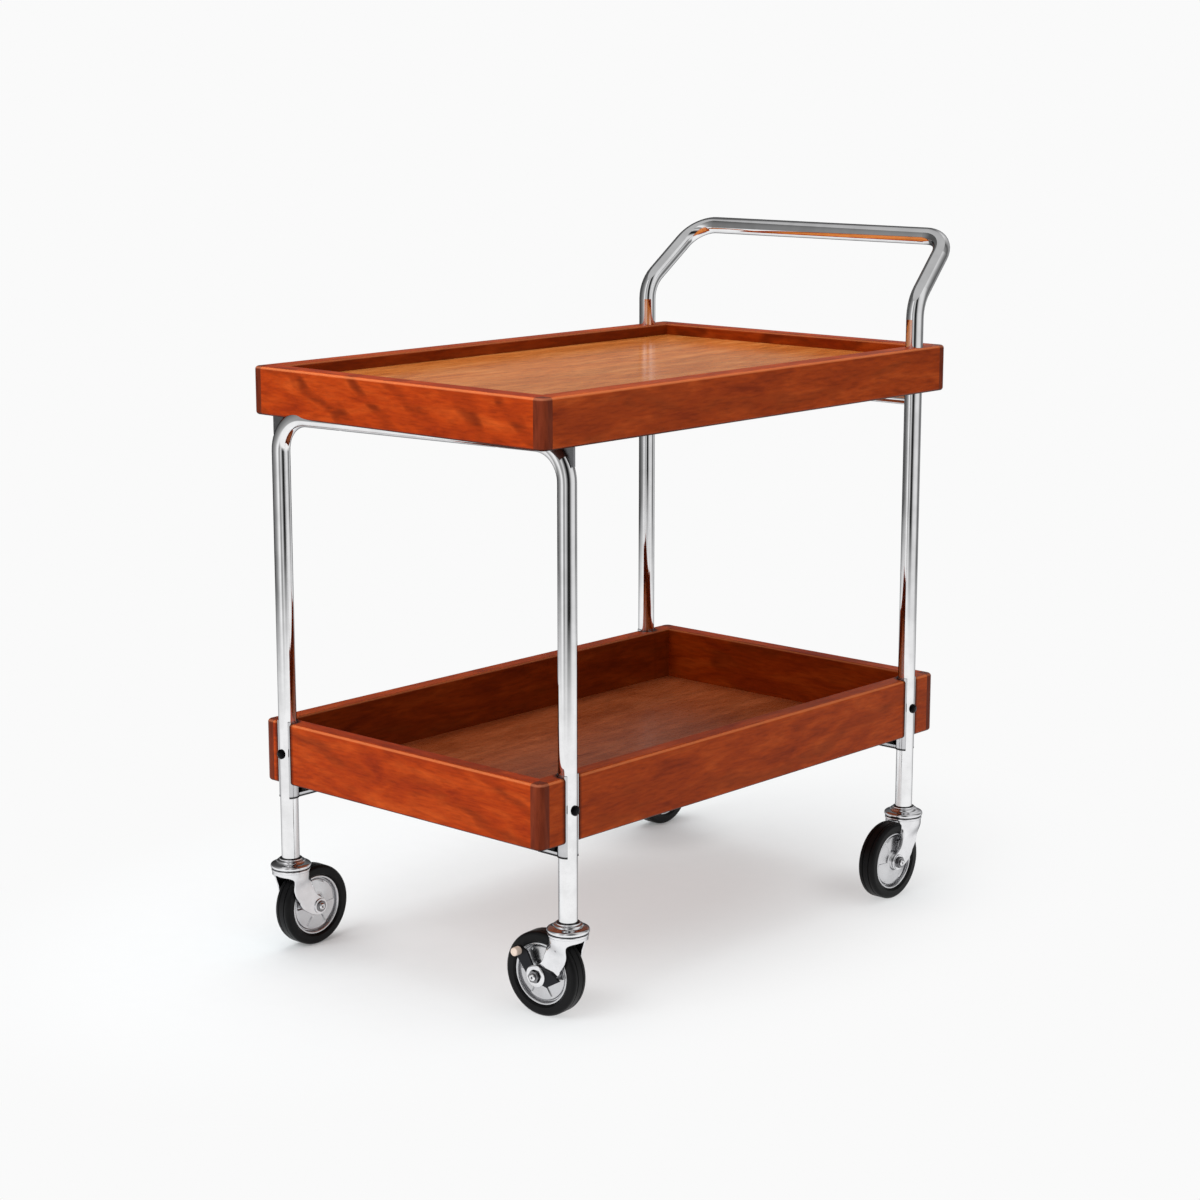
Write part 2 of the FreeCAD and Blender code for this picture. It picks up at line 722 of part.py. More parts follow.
# A cross bar, coped to the back legs, carries the top tray from below.
bar_level = "top_tray_bottom - bar_radius"
copes = [
    leg_rod("bar_cope_" + leg, leg, "tube_radius", bar_level + " - bar_od", bar_level + " + bar_od")
    for leg in ("back_left", "back_right")
]
node(cut(
    "top_back_bar",
    across_rod("bar_skin", "bar_radius", "leg_half_spacing", "back_leg_x", bar_level),
    across_rod("bar_bore", "bar_radius - bar_wall", "leg_half_spacing", "back_leg_x", bar_level),
    *copes,
), "top_back_crossbar")


# A saddle lines each leg's groove in the lower tray, and its foot carries the tray on a rubber pad.
saddle_foot_top = "lower_tray_bottom - saddle_pad_thick"


def set_on_leg(piece, leg):
    """Turn a piece that was drawn about Z with the tray along +X, and set it on a leg."""
    inward = FreeCAD.Rotation(FreeCAD.Vector(1, 0, 0), OUTWARD[leg] * -1)
    piece.Placement = FreeCAD.Placement(leg_point(leg, 0), inward)
    return piece


def saddle(leg):
    name = "saddle_" + leg
    low = saddle_foot_top + " - saddle_foot_thick"
    high = "lower_tray_bottom + lower_tray_height + saddle_stand"
    shell = rod(name + "_shell", "saddle_radius", "%s - (%s)" % (high, low), base_z=low)
    foot = box(
        name + "_foot",
        Length="saddle_reach",
        Width="saddle_width",
        Height="saddle_foot_thick",
        base_y="-saddle_width / 2",
        base_z=low,
    )
    outside = box(
        name + "_outside",
        Length="tube_od",
        Width="2 * tube_od",
        Height=high,
        base_x="-leg_sink - saddle_proud - tube_od",
        base_y="-tube_od",
    )
    piece = cut(
        name,
        fuse(name + "_blank", shell, foot),
        rod(name + "_bore", "tube_radius + saddle_fit", "2 * (%s)" % high),
        rod(name + "_hole", leg_screw_hole, "tube_od", ALONG_X, base_z="leg_screw_z"),
        outside,
    )
    return set_on_leg(piece, leg)


def saddle_pad(leg):
    """A low step under the rail and a high one under the panel."""
    name = "saddle_pad_" + leg
    start = "saddle_radius + saddle_pad_inset"
    end = "saddle_reach - saddle_pad_inset"
    step = "lower_rail_thick - leg_sink + wood_fit"
    side = "saddle_width - 2 * saddle_pad_inset"
    low_step = box(
        name + "_low",
        Length="%s - (%s)" % (end, start),
        Width=side,
        Height="saddle_pad_thick",
        base_x=start,
        base_y="saddle_pad_inset - saddle_width / 2",
        base_z=saddle_foot_top,
    )
    high_step = box(
        name + "_high",
        Length="%s - (%s)" % (end, step),
        Width=side,
        Height="saddle_pad_thick + lower_panel_low",
        base_x=step,
        base_y="saddle_pad_inset - saddle_width / 2",
        base_z=saddle_foot_top,
    )
    return set_on_leg(fuse(name, low_step, high_step), leg)


node(group("saddle_group", [saddle(leg) for leg in LEGS]), "lower_tray_saddles")
node(group("saddle_pad_group", [saddle_pad(leg) for leg in LEGS]), "lower_tray_pads")

# A tab on each front bend carries the rail above it.
for side, leg, edge in (
    ("left", "front_left", "tube_radius - tab_width"),
    ("right", "front_right", "-tube_radius"),
):
    x, y = LEGS[leg]
    blank = box(
        "front_tab_blank_" + side,
        Length="tab_thick",
        Width="tab_width",
        Height="tab_drop",
        base_x=x + " - tab_thick / 2",
        base_y="%s + %s" % (y, edge),
        base_z="top_tray_bottom - tab_drop",
    )
    node(cut("front_tab_" + side, blank, front_skin), "front_support_tab_" + side)

# The cleat behind the front rail sits on the front run and takes its right screw.
cleat_low = "front_run_z + cleat_lift"
cleat_blank = box(
    "cleat_blank",
    Length="cleat_width",
    Width="cleat_length",
    Height="top_tray_bottom + top_panel_low - (%s)" % cleat_low,
    base_x="tray_front + top_rail_thick + cleat_gap",
    base_y="-run_screw_right - cleat_length / 2",
    base_z=cleat_low,
)
cleat_pilot = run_rod(
    "cleat_pilot", "right", "small_screw_dia / 2", "front_run_z", "tube_radius + run_screw_bite")
node(cut("cleat", cleat_blank, front_skin, cleat_pilot), "front_cleat")

# The round of a screw's head, as shares of its radius and height.
SCREW_DOME = ((1, 0.4), (0.8, 0.8), (0.4, 1))


# Screws. Each points down its own -Z with the underside of its head on Z = 0.
def screw(name, thread, head, rise, length):
    dome = [("%s / 2 * %s" % (head, out), "%s * %s" % (rise, up)) for out, up in SCREW_DOME]
    return revolve(name, (
        ("0", "-(%s)" % length),
        (thread + " / 2", "-(%s)" % length),
        (thread + " / 2", "0"),
        (head + " / 2", "0"),
        *dome,
        ("0", rise),
    ))


leg_screws = []
leg_screw_length = "tube_radius - leg_sink + lower_rail_thick - wood_left"
for leg, outward in OUTWARD.items():
    piece = screw(
        "leg_screw_" + leg, "leg_screw_dia", "leg_screw_head", "leg_screw_head_rise", leg_screw_length)
    place = leg_point(leg, size("leg_screw_z")) + outward * size("tube_radius")
    piece.Placement = FreeCAD.Placement(place, pointing(outward))
    leg_screws.append(piece)
node(group("leg_screw_group", leg_screws), "leg_screws")


def small_screw(name, length, place, outward):
    """A hidden screw with its head toward the way given."""
    piece = screw(name, "small_screw_dia", "small_screw_head", "small_screw_head_rise", length)
    piece.Placement = FreeCAD.Placement(place, pointing(outward))
    return piece


post_screws = []
rail_inner = size("top_half_width") - size("top_rail_thick")
for leg in ("back_left", "back_right"):
    place = FreeCAD.Vector(back_x, OUTWARD[leg].y * rail_inner, size("post_screw_z"))
    post_screws.append(
        small_screw("post_screw_" + leg, "top_hole_wall + tube_radius", place, OUTWARD[leg] * -1))
node(group("post_screw_group", post_screws), "top_tray_leg_screws")

run_screws = []
run_screw_length = "tube_radius - run_seat_rise + run_screw_bite"
for side, (x, y) in RUN_SCREWS.items():
    place = FreeCAD.Vector(reading(x), reading(y), run_z + size("run_seat_rise"))
    run_screws.append(small_screw("run_screw_" + side, run_screw_length, place, UP * -1))
node(group("run_screw_group", run_screws), "front_run_screws")


# Casters. Each is drawn about its swivel axis with its wheel trailing along +X, then set under its leg.
def under_leg(leg):
    return FreeCAD.Placement(leg_point(leg, 0), turned(HEADINGS[leg]))


def on_axle(leg):
    """A caster piece drawn about Z, laid along the axle."""
    return under_leg(leg).multiply(FreeCAD.Placement(
        FreeCAD.Vector(size("wheel_trail"), 0, size("axle_z")), ALONG_Y))


def ring_edge(radius, *heights):
    """A test for a full circle of that radius at one of those heights."""
    def wanted(edge):
        bounds = edge.BoundBox
        flat = near(bounds.ZMin, bounds.ZMax)
        return flat and near(bounds.XMax, radius) and any(near(bounds.ZMin, z) for z in heights)
    return wanted


def ferrule(leg):
    """The plug in the leg's end with a lip the tube stands on."""
    lip = "tube_radius + ferrule_lip"
    return revolve("ferrule_" + leg, (
        ("stem_dia / 2", "cap_top"),
        (lip, "cap_top"),
        (lip, "leg_foot"),
        ("tube_bore", "leg_foot"),
        ("tube_bore", "leg_foot + ferrule_depth"),
        ("stem_dia / 2", "leg_foot + ferrule_depth"),
    ))


def stem(leg):
    """The pin the fork swivels on, with its head under the crown."""
    stem_low = "stem_head_top - stem_head_rise"
    return revolve("stem_" + leg, (
        ("0", stem_low),
        ("stem_head_dia / 2", stem_low),
        ("stem_head_dia / 2", "stem_head_top"),
        ("stem_dia / 2", "stem_head_top"),
        ("stem_dia / 2", "leg_foot + stem_rise"),
        ("0", "leg_foot + stem_rise"),
    ))


def cap(leg):
    """The round cap over the fork, with the upper channel of the ball ring."""
    roof = "ball_z + ball_dia / 2"
    room = "ball_dia / 2 + ball_room"
    body = revolve("cap_" + leg, (
        ("stem_dia / 2", "cap_low"),
        ("ball_ring_dia / 2 - (%s)" % room, "cap_low"),
        ("ball_ring_dia / 2 - (%s)" % room, roof),
        ("ball_ring_dia / 2 + %s" % room, roof),
        ("ball_ring_dia / 2 + %s" % room, "cap_low"),
        ("cap_dia / 2", "cap_low"),
        ("cap_dia / 2", "cap_high"),
        ("neck_low_dia / 2", "cap_high"),
        ("neck_top_dia / 2", "cap_top"),
        ("stem_dia / 2", "cap_top"),
    ))
    edges = ring_edge(size("cap_dia") / 2, size("cap_low"), size("cap_high"))
    round_edges(body, "cap_round", edges, "cap_round_" + leg)
    return body


BALLS = 10
# Where the arm's two edges meet its round end, in degrees about the axle.
ARM_BACK_ANGLE = 62
ARM_FRONT_ANGLE = 235


def balls(leg):
    """The ring of balls between crown and cap."""
    pieces = []
    for number in range(BALLS):
        ball = doc.addObject("Part::Sphere", "ball_%s_%d" % (leg, number))
        bind(ball, Radius="ball_dia / 2")
        angle = math.radians(number * 360 / BALLS)
        radius = size("ball_ring_dia") / 2
        place = FreeCAD.Vector(radius * math.cos(angle), radius * math.sin(angle), size("ball_z"))
        ball.Placement = under_leg(leg).multiply(FreeCAD.Placement(place, FreeCAD.Rotation()))
        pieces.append(ball)
    return pieces


fixed = {"leg_ferrules": [], "caster_stems": [], "caster_caps": [], "caster_balls": []}
for leg in LEGS:
    for label, make in (("leg_ferrules", ferrule), ("caster_stems", stem), ("caster_caps", cap)):
        piece = make(leg)
        piece.Placement = under_leg(leg)
        fixed[label].append(piece)
    fixed["caster_balls"] += balls(leg)
for label, pieces in fixed.items():
    node(group(label + "_group", pieces), label)


def fork_arm(leg, side):
    """A flat arm from the crown down to the round end that holds the axle."""
    name = "arm_%s_%s" % (leg, side)
    body = new_body(name)
    boss = "boss_dia / 2"
    ends = [
        ("wheel_trail + %s * cos(%d)" % (boss, angle), "axle_z + %s * sin(%d)" % (boss, angle))
        for angle in (ARM_BACK_ANGLE, ARM_FRONT_ANGLE)
    ]
    sketch = outline(body, "XZ_Plane", (
        ("arm_shift - arm_width / 2", "crown_low"),
        ("arm_shift + arm_width / 2", "crown_low"),
        ("arm_shift + arm_width / 2", "axle_z + arm_back_rise"),
        *ends,
        ("arm_shift - arm_width / 2", "axle_z + arm_front_rise"),
    ), name + "_outline")
    pad(body, sketch, "arm_thick", name + "_plate")
    knee = size("axle_z") + size("arm_back_rise")
    heel = size("axle_z") + size("arm_front_rise")

    def bent_corner(edge):
        bounds = edge.BoundBox
        return near(bounds.ZMin, bounds.ZMax) and (near(bounds.ZMin, knee) or near(bounds.ZMin, heel))

    round_edges(body, "arm_bend", bent_corner, name + "_bends")
    return body


def fork(leg):
    """Crown, hood and two arms, with a slot for the wheel and an arch in front."""
    name = "fork_" + leg
    crown = rod(name + "_crown", "hood_dia / 2", "crown_thick", base_z="crown_low")
    hood = bind(
        doc.addObject("Part::Cone", name + "_hood"),
        Radius1="hood_low_dia / 2",
        Radius2="hood_dia / 2",
        Height="crown_low - hood_low",
        base_z="hood_low",
    )
    slot_front = "-(hood_dia / 2 - hood_front_wall)"
    slot = box(
        name + "_slot",
        Length="hood_dia",
        Width="2 * arm_inner",
        Height="crown_low - hood_low",
        base_x=slot_front,
        base_y="-arm_inner",
        base_z="hood_low",
    )
    arch_axis = "crown_low - arch_drop - arm_inner"
    arch = rod(name + "_arch", "arm_inner", "hood_dia", ALONG_X, base_x="-hood_dia / 2", base_z=arch_axis)
    gate = box(
        name + "_gate",
        Length="hood_dia",
        Width="2 * arm_inner",
        Height=arch_axis + " - hood_low",
        base_x="-hood_dia / 2",
        base_y="-arm_inner",
        base_z="hood_low",
    )
    shell = fuse(name + "_shell", cut(name + "_hollow", hood, slot, arch, gate), crown)
    for side, sign in (("near", 1), ("far", -1)):
        arm = fork_arm(leg, side)
        arm.Placement.Base.y = size("arm_outer") if sign > 0 else -size("arm_inner")
        boss = rod(
            "%s_boss_%s" % (name, side),
            "boss_dia / 2",
            "arm_thick",
            ALONG_Y,
            base_x="wheel_trail",
            base_y="arm_inner" if sign > 0 else "-arm_outer",
            base_z="axle_z",
        )
        shell = fuse("%s_%s" % (name, side), shell, arm, boss)
    axle_hole = rod(
        name + "_axle_hole",
        "axle_dia / 2",
        "4 * arm_outer",
        ALONG_Y,
        base_x="wheel_trail",
        base_y="-2 * arm_outer",
        base_z="axle_z",
    )
    stem_hole = rod(
        name + "_stem_hole", "stem_dia / 2 + turn_fit", "2 * hood_depth", base_z="crown_low - hood_depth")
    return cut(name + "_bored", shell, axle_hole, stem_hole)


def axle(leg, stack):
    """The axle bolt, long enough for what sits between fork arm and nut."""
    low = "-(arm_outer + axle_head_rise)"
    end = "arm_outer + %s + nut_rise + axle_end" % stack
    return revolve("axle_" + leg, (
        ("0", low),
        ("axle_head_dia / 2 - axle_head_edge", low),
        ("axle_head_dia / 2", low + " + axle_head_edge"),
        ("axle_head_dia / 2", "-arm_outer"),
        ("axle_dia / 2", "-arm_outer"),
        ("axle_dia / 2", end),
        ("0", end),
    ))


def nut(leg, stack):
    """A six-sided nut on the bolt's end."""
    blank = bind(
        doc.addObject("Part::Prism", "nut_blank_" + leg),
        Circumradius="nut_dia / 2",
        Height="nut_rise",
        base_z="arm_outer + " + stack,
    )
    bore = rod("nut_bore_" + leg, "axle_dia / 2", "4 * arm_outer")
    return cut("nut_" + leg, blank, bore)


def wheel_disc(leg):
    """A dished disc with a hub and a raised ring at its rim."""
    lip = "rim_radius - rim_lip"
    return revolve("disc_" + leg, (
        ("bush_dia / 2", "-hub_half"),
        ("hub_dia / 2", "-hub_half"),
        ("hub_dia / 2", "-rim_half"),
        (lip, "-dish_half"),
        (lip, "-rim_half"),
        ("rim_radius", "-rim_half"),
        ("rim_radius", "rim_half"),
        (lip, "rim_half"),
        (lip, "dish_half"),
        ("hub_dia / 2", "rim_half"),
        ("hub_dia / 2", "hub_half"),
        ("bush_dia / 2", "hub_half"),
    ))


def tyre(leg):
    """A rubber tyre with round shoulders and two tread grooves."""
    half = "tyre_width / 2"
    tread = "wheel_dia / 2"
    groove_out = "tread_spacing / 2 + tread_groove / 2"
    groove_in = "tread_spacing / 2 - tread_groove / 2"
    bed = tread + " - tread_groove"
    body = revolve("tyre_" + leg, (
        ("rim_radius", "-rim_half"),
        ("rim_radius + rim_inset", "-" + half),
        (tread, "-" + half),
        (tread, "-(%s)" % groove_out),
        (bed, "-(%s)" % groove_out),
        (bed, "-(%s)" % groove_in),
        (tread, "-(%s)" % groove_in),
        (tread, groove_in),
        (bed, groove_in),
        (bed, groove_out),
        (tread, groove_out),
        (tread, half),
        ("rim_radius + rim_inset", half),
        ("rim_radius", "rim_half"),
    ))
    edges = ring_edge(size("wheel_dia") / 2, size("tyre_width") / 2, -size("tyre_width") / 2)
    round_edges(body, "tyre_round", edges, "tyre_round_" + leg)
    return body


def bush(leg):
    """A plain bearing sleeve between hub and axle."""
    bore = "axle_dia / 2 + turn_fit"
    return revolve("bush_" + leg, (
        (bore, "-hub_half"),
        ("bush_dia / 2", "-hub_half"),
        ("bush_dia / 2", "hub_half"),
        (bore, "hub_half"),
    ))


BRAKED = "front_right"
for leg in LEGS:
    stack = "lever_stack" if leg == BRAKED else "0"
    piece = node(fork(leg), "fork_" + leg)
    piece.Placement = under_leg(leg)
    for label, piece in (
        ("axle_bolt_", axle(leg, stack)),
        ("axle_nut_", nut(leg, stack)),
        ("wheel_disc_", wheel_disc(leg)),
        ("wheel_tyre_", tyre(leg)),
        ("wheel_bush_", bush(leg)),
    ):
        node(piece, label + leg)
        piece.Placement = on_axle(leg)

# Brake lever on the outer side of one caster: an eye on the axle, a tail in front and an arm with a
# knob above the tyre. Its outline goes round the axle from the eye's top by the arm to the tail, with
# the arm toward +X and +Z, and is given as shares of the lever's reach.
LEVER_OUTLINE = (
    (-0.16, 0.28),
    (0.10, 0.27),
    (0.33, 0.70),
    (0.62, 0.82),
    (0.80, 0.60),
    (0.55, 0.28),
    (0.25, -0.11),
    (-0.39, -0.28),
    (-0.87, 0),
    (-0.54, 0.20),
)
KNOB_PLACE = (0.64, 0.66)
lever_body = new_body("lever_plate")
lever_plan = outline(
    lever_body,
    "XZ_Plane",
    [("lever_reach * %s" % x, "lever_reach * %s" % z) for x, z in LEVER_OUTLINE],
    "lever_plan",
)
pad(lever_body, lever_plan, "lever_thick", "lever_sheet")
lever_body.Placement.Base.y = size("lever_thick")
lever_eye = rod("lever_eye", "lever_eye_dia / 2", "lever_thick", ALONG_Y)
lever_bore = rod("lever_bore", "axle_dia / 2 + turn_fit", "3 * lever_thick", ALONG_Y, base_y="-lever_thick")
lever = cut("lever", fuse("lever_shape", lever_body, lever_eye), lever_bore)
at_lever = under_leg(BRAKED).multiply(FreeCAD.Placement(
    FreeCAD.Vector(size("wheel_trail"), size("lever_inner"), size("axle_z")), FreeCAD.Rotation()))
lever.Placement = at_lever
node(lever, "brake_lever")

knob = revolve("knob", (
    ("0", "0"),
    ("knob_dia / 2", "0"),
    ("knob_dia / 2", "knob_length"),
    ("0", "knob_length"),
))
round_edges(knob, "knob_round", ring_edge(size("knob_dia") / 2, size("knob_length")), "knob_edge")
knob_x, knob_z = [size("lever_reach") * share for share in KNOB_PLACE]
knob.Placement = at_lever.multiply(FreeCAD.Placement(
    FreeCAD.Vector(knob_x, size("lever_thick"), knob_z), ALONG_Y))
node(knob, "brake_knob")

doc.recompute()
for piece in doc.Objects:
    if "Invalid" in piece.State or "Error" in piece.State:
        raise RuntimeError("%s failed: %s" % (piece.Name, piece.State))
for piece in nodes:
    if piece.Shape.isNull() or not piece.Shape.isValid():
        raise RuntimeError(piece.Label + " has no valid shape")

os.makedirs("parts", exist_ok=True)
for piece in nodes:
    piece.Shape.exportStep("parts/%s.step" % piece.Label)
print(len(nodes), "nodes written")
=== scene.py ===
# %% [markdown]
# A serving cart with two cherry trays on a chrome tube frame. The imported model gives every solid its
# place, in metres, with the floor at z = 0 and the push handle at +X. This lesson dresses that model:
# it gives each surface the finish it has on the real cart, models the pressed and spun pieces of the
# casters that the solids keep plain, and puts the whole in a bright studio.

# %% Load the frame
import json
import math
import bpy
import numpy as np
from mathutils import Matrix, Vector


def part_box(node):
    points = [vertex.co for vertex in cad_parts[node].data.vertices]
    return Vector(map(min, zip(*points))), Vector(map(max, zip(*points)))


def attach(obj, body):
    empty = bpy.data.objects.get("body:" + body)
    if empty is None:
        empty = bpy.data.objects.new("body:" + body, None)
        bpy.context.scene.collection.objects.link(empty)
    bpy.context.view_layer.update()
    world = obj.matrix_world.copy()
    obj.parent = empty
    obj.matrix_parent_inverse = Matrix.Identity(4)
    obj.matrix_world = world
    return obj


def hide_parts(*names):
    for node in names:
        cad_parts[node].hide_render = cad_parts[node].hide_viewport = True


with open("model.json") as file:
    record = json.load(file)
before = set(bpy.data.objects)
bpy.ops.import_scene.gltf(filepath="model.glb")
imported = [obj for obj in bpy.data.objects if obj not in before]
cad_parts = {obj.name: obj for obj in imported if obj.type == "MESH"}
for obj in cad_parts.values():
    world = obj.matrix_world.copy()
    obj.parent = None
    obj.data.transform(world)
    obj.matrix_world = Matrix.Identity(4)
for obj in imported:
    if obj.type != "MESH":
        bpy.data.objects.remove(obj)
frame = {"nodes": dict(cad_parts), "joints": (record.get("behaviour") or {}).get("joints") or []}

MM = 0.001
nodes = frame["nodes"]
scene = bpy.context.scene
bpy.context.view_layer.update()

# %% [markdown]
# The camera stands in front and to the right, a little above the top tray and some three metres away.
# Its place, angle and lens were worked out from the trays' edges, so the two trays fall on the same
# pixels as in the photograph. A long lens keeps the uprights nearly parallel.

# %% Camera
CAMERA_PLACE = (-2.4424, -2.1759, 1.0690)
CAMERA_YAW = 42.13
CAMERA_PITCH = 11.45
CAMERA_LENS_MM = 79.54
CAMERA_SENSOR_MM = 36
camera_data = bpy.data.cameras.new("photo_camera")
camera_data.lens = CAMERA_LENS_MM
camera_data.sensor_width = CAMERA_SENSOR_MM
camera = bpy.data.objects.new("photo_camera", camera_data)
scene.collection.objects.link(camera)
yaw, pitch = math.radians(CAMERA_YAW), math.radians(CAMERA_PITCH)
look = Vector((math.cos(yaw) * math.cos(pitch), math.sin(yaw) * math.cos(pitch), -math.sin(pitch)))
camera.location = CAMERA_PLACE
camera.rotation_mode = "QUATERNION"
camera.rotation_quaternion = look.to_track_quat("-Z", "Y")
scene.camera = camera
print("camera at", CAMERA_PLACE, "looking along", [round(part, 3) for part in look])

# %% [markdown]
# Three helpers serve all finishes. Colours are noted as the sRGB hex values that a paint chart would
# give, and one function turns them to the linear light that shaders add up. Another adds one shader
# node, sets its inputs and links it, so that a whole material reads as a list of steps. The third starts
# a material with nothing in it. The nodes could be drawn in Blender's editor, but a list can be read.

# %% Colour and node helpers
def linear(code, share=1.0):
    """An sRGB hex code as linear RGBA: a straight part near black, then a power of 2.4, times a share."""
    srgb = np.array([int(code[i:i + 2], 16) for i in (0, 2, 4)]) / 255
    light = np.where(srgb <= 0.04045, srgb / 12.92, ((srgb + 0.055) / 1.055) ** 2.4)
    return (*(light * share).tolist(), 1.0)


def add(tree, kind, settings=None, **inputs):
    """Add one shader node.

    Settings are its properties; stops stands for a colour ramp's (place, colour) pairs. An input's name
    has _ for a space, or is _ and its number, and it takes a value, or a socket to link."""
    node = tree.nodes.new("ShaderNode" + kind)
    for name, value in (settings or {}).items():
        if name != "stops":
            setattr(node, name, value)
            continue
        elements = node.color_ramp.elements
        while len(elements) < len(value):
            elements.new(0.5)
        for element, (place, colour) in zip(elements, value):
            element.position = place
            element.color = colour
    for name, value in inputs.items():
        socket = node.inputs[int(name[1:])] if name[1:].isdigit() else node.inputs[name.replace("_", " ")]
        if isinstance(value, bpy.types.NodeSocket):
            tree.links.new(value, socket)
        else:
            socket.default_value = value
    return node


def blank(name):
    """A new material, with the empty tree that its nodes go into."""
    material = bpy.data.materials.new(name)
    material.use_nodes = True
    material.node_tree.nodes.clear()
    return material, material.node_tree


print("white is", linear("FFFFFF"))

# %% [markdown]
# Oiled cherry. A cherry board is calm: a warm red brown with soft, cloudy bands that run along the
# grain, many short flecks, and here and there a darker flame where the saw cut across a growth ring.
# A picture of a board would be a quick way, but it repeats. A pattern in the solid wood gives every board
# a figure of its own that runs on from face to face. The bands and flecks are noise that is stretched
# along the grain. The flames are rings round an axis that lies beside the board and is tilted, so that
# they cross its face in long curves; only their darkest part is kept, and a cloud hides most of it.

# %% Cherry figure
CLOUD_MM = 26
CLOUD_STRETCH = 4
FLECK_MM = 3.2
FLECK_STRETCH = 7
FLECK_TONES = ((0.30, (0.74, 0.72, 0.68, 1)), (0.56, (1, 1, 1, 1)), (0.78, (1.12, 1.16, 1.2, 1)))
FLAME_MM = 46
FLAME_STRETCH = 2.2
FLAME_TONE = 0.4
# a wave texture of scale 1 repeats after this part of a metre
WAVE_PERIOD = 2 * math.pi / 20


def along(grain, stretch):
    """Scales that draw a pattern out along one axis."""
    scale = [1.0, 1.0, 1.0]
    scale[grain] = stretch
    return scale


def figure(tree, spot, grain, hexes, heart, tilt, flame):
    """The colour of cherry with its grain along axis 0, 1 or 2.

    Heart is the middle of the growth rings, and flame is how dark they are."""
    dark, middle, pale = [linear(code) for code in hexes[:3]]
    wide = add(
        tree, "Mapping", {"vector_type": "TEXTURE"}, Vector=spot, Scale=along(grain, CLOUD_STRETCH)
    ).outputs["Vector"]
    narrow = add(
        tree, "Mapping", {"vector_type": "TEXTURE"}, Vector=spot, Scale=along(grain, FLECK_STRETCH)
    ).outputs["Vector"]
    cloud = add(
        tree, "TexNoise", Vector=wide, Scale=1 / (CLOUD_MM * MM), Detail=4.0, Roughness=0.55, Distortion=0.8
    ).outputs["Fac"]
    fleck = add(
        tree, "TexNoise", Vector=narrow, Scale=1 / (FLECK_MM * MM), Detail=3.0, Roughness=0.6
    ).outputs["Fac"]
    turn = [math.radians(tilt)] * 3
    turn[grain] = 0
    board = add(
        tree,
        "Mapping",
        {"vector_type": "TEXTURE"},
        Vector=spot,
        Location=heart,
        Rotation=turn,
        Scale=along(grain, FLAME_STRETCH),
    ).outputs["Vector"]
    ring = add(
        tree,
        "TexWave",
        {"wave_type": "RINGS", "rings_direction": "XYZ"[grain]},
        Vector=board,
        Scale=WAVE_PERIOD / (FLAME_MM * MM),
        Distortion=8.0,
        Detail=4.0,
        Detail_Scale=1.3,
    ).outputs["Fac"]
    body = add(tree, "ValToRGB", {"stops": ((0.28, dark), (0.5, middle), (0.74, pale))}, Fac=cloud)
    spark = add(tree, "ValToRGB", {"stops": FLECK_TONES}, Fac=fleck)
    mottled = add(
        tree,
        "Mix",
        {"data_type": "RGBA", "blend_type": "MULTIPLY"},
        _0=1.0,
        _6=body.outputs["Color"],
        _7=spark.outputs["Color"],
    ).outputs[2]
    edge = add(tree, "MapRange", Value=ring, From_Max=0.30, To_Min=1.0, To_Max=0.0).outputs["Result"]
    veil = add(tree, "MapRange", Value=cloud, From_Min=0.40, From_Max=0.58, To_Max=flame).outputs["Result"]
    mark = add(tree, "Math", {"operation": "MULTIPLY"}, _0=edge, _1=veil).outputs[0]
    shade = linear(hexes[0], FLAME_TONE)
    return add(tree, "Mix", {"data_type": "RGBA"}, _0=mark, _6=mottled, _7=shade).outputs[2]


print("clouds", CLOUD_MM, "mm wide, flames", FLAME_MM, "mm apart")

# %% [markdown]
# Oil leaves the pores of the wood open. They are fine dashes along the grain, duller than the wood
# between them, and they break up its gloss. Cutting them into the mesh would take millions of faces, so
# noise that is drawn out along the grain roughens the surface and gives it a faint bump.

# %% Oiled surface
# real pores are under 0.1 mm wide; these are drawn coarser, so that they show
PORE_MM = 0.6
PORE_STRETCH = 24
PORE_DEPTH_MM = 0.12
PORE_DULL = 0.10


def oiled(tree, spot, grain, colour, gloss, level):
    """An oiled wood surface: pores along the grain make it duller and cut fine lines into it."""
    thin = add(
        tree, "Mapping", {"vector_type": "TEXTURE"}, Vector=spot, Scale=along(grain, PORE_STRETCH)
    ).outputs["Vector"]
    pore = add(
        tree, "TexNoise", Vector=thin, Scale=1 / (PORE_MM * MM), Detail=2.0, Roughness=0.6
    ).outputs["Fac"]
    shine = add(
        tree, "MapRange", Value=pore, From_Min=0.3, From_Max=0.7, To_Min=gloss + PORE_DULL, To_Max=gloss
    ).outputs["Result"]
    relief = add(tree, "Bump", Strength=0.10, Distance=PORE_DEPTH_MM * MM, Height=pore).outputs["Normal"]
    shader = add(
        tree,
        "BsdfPrincipled",
        Base_Color=colour,
        Roughness=shine,
        Normal=relief,
        IOR=1.5,
        Specular_IOR_Level=level,
    )
    add(tree, "OutputMaterial", Surface=shader.outputs["BSDF"])


print("pores", PORE_MM, "mm wide and", PORE_STRETCH, "times as long")
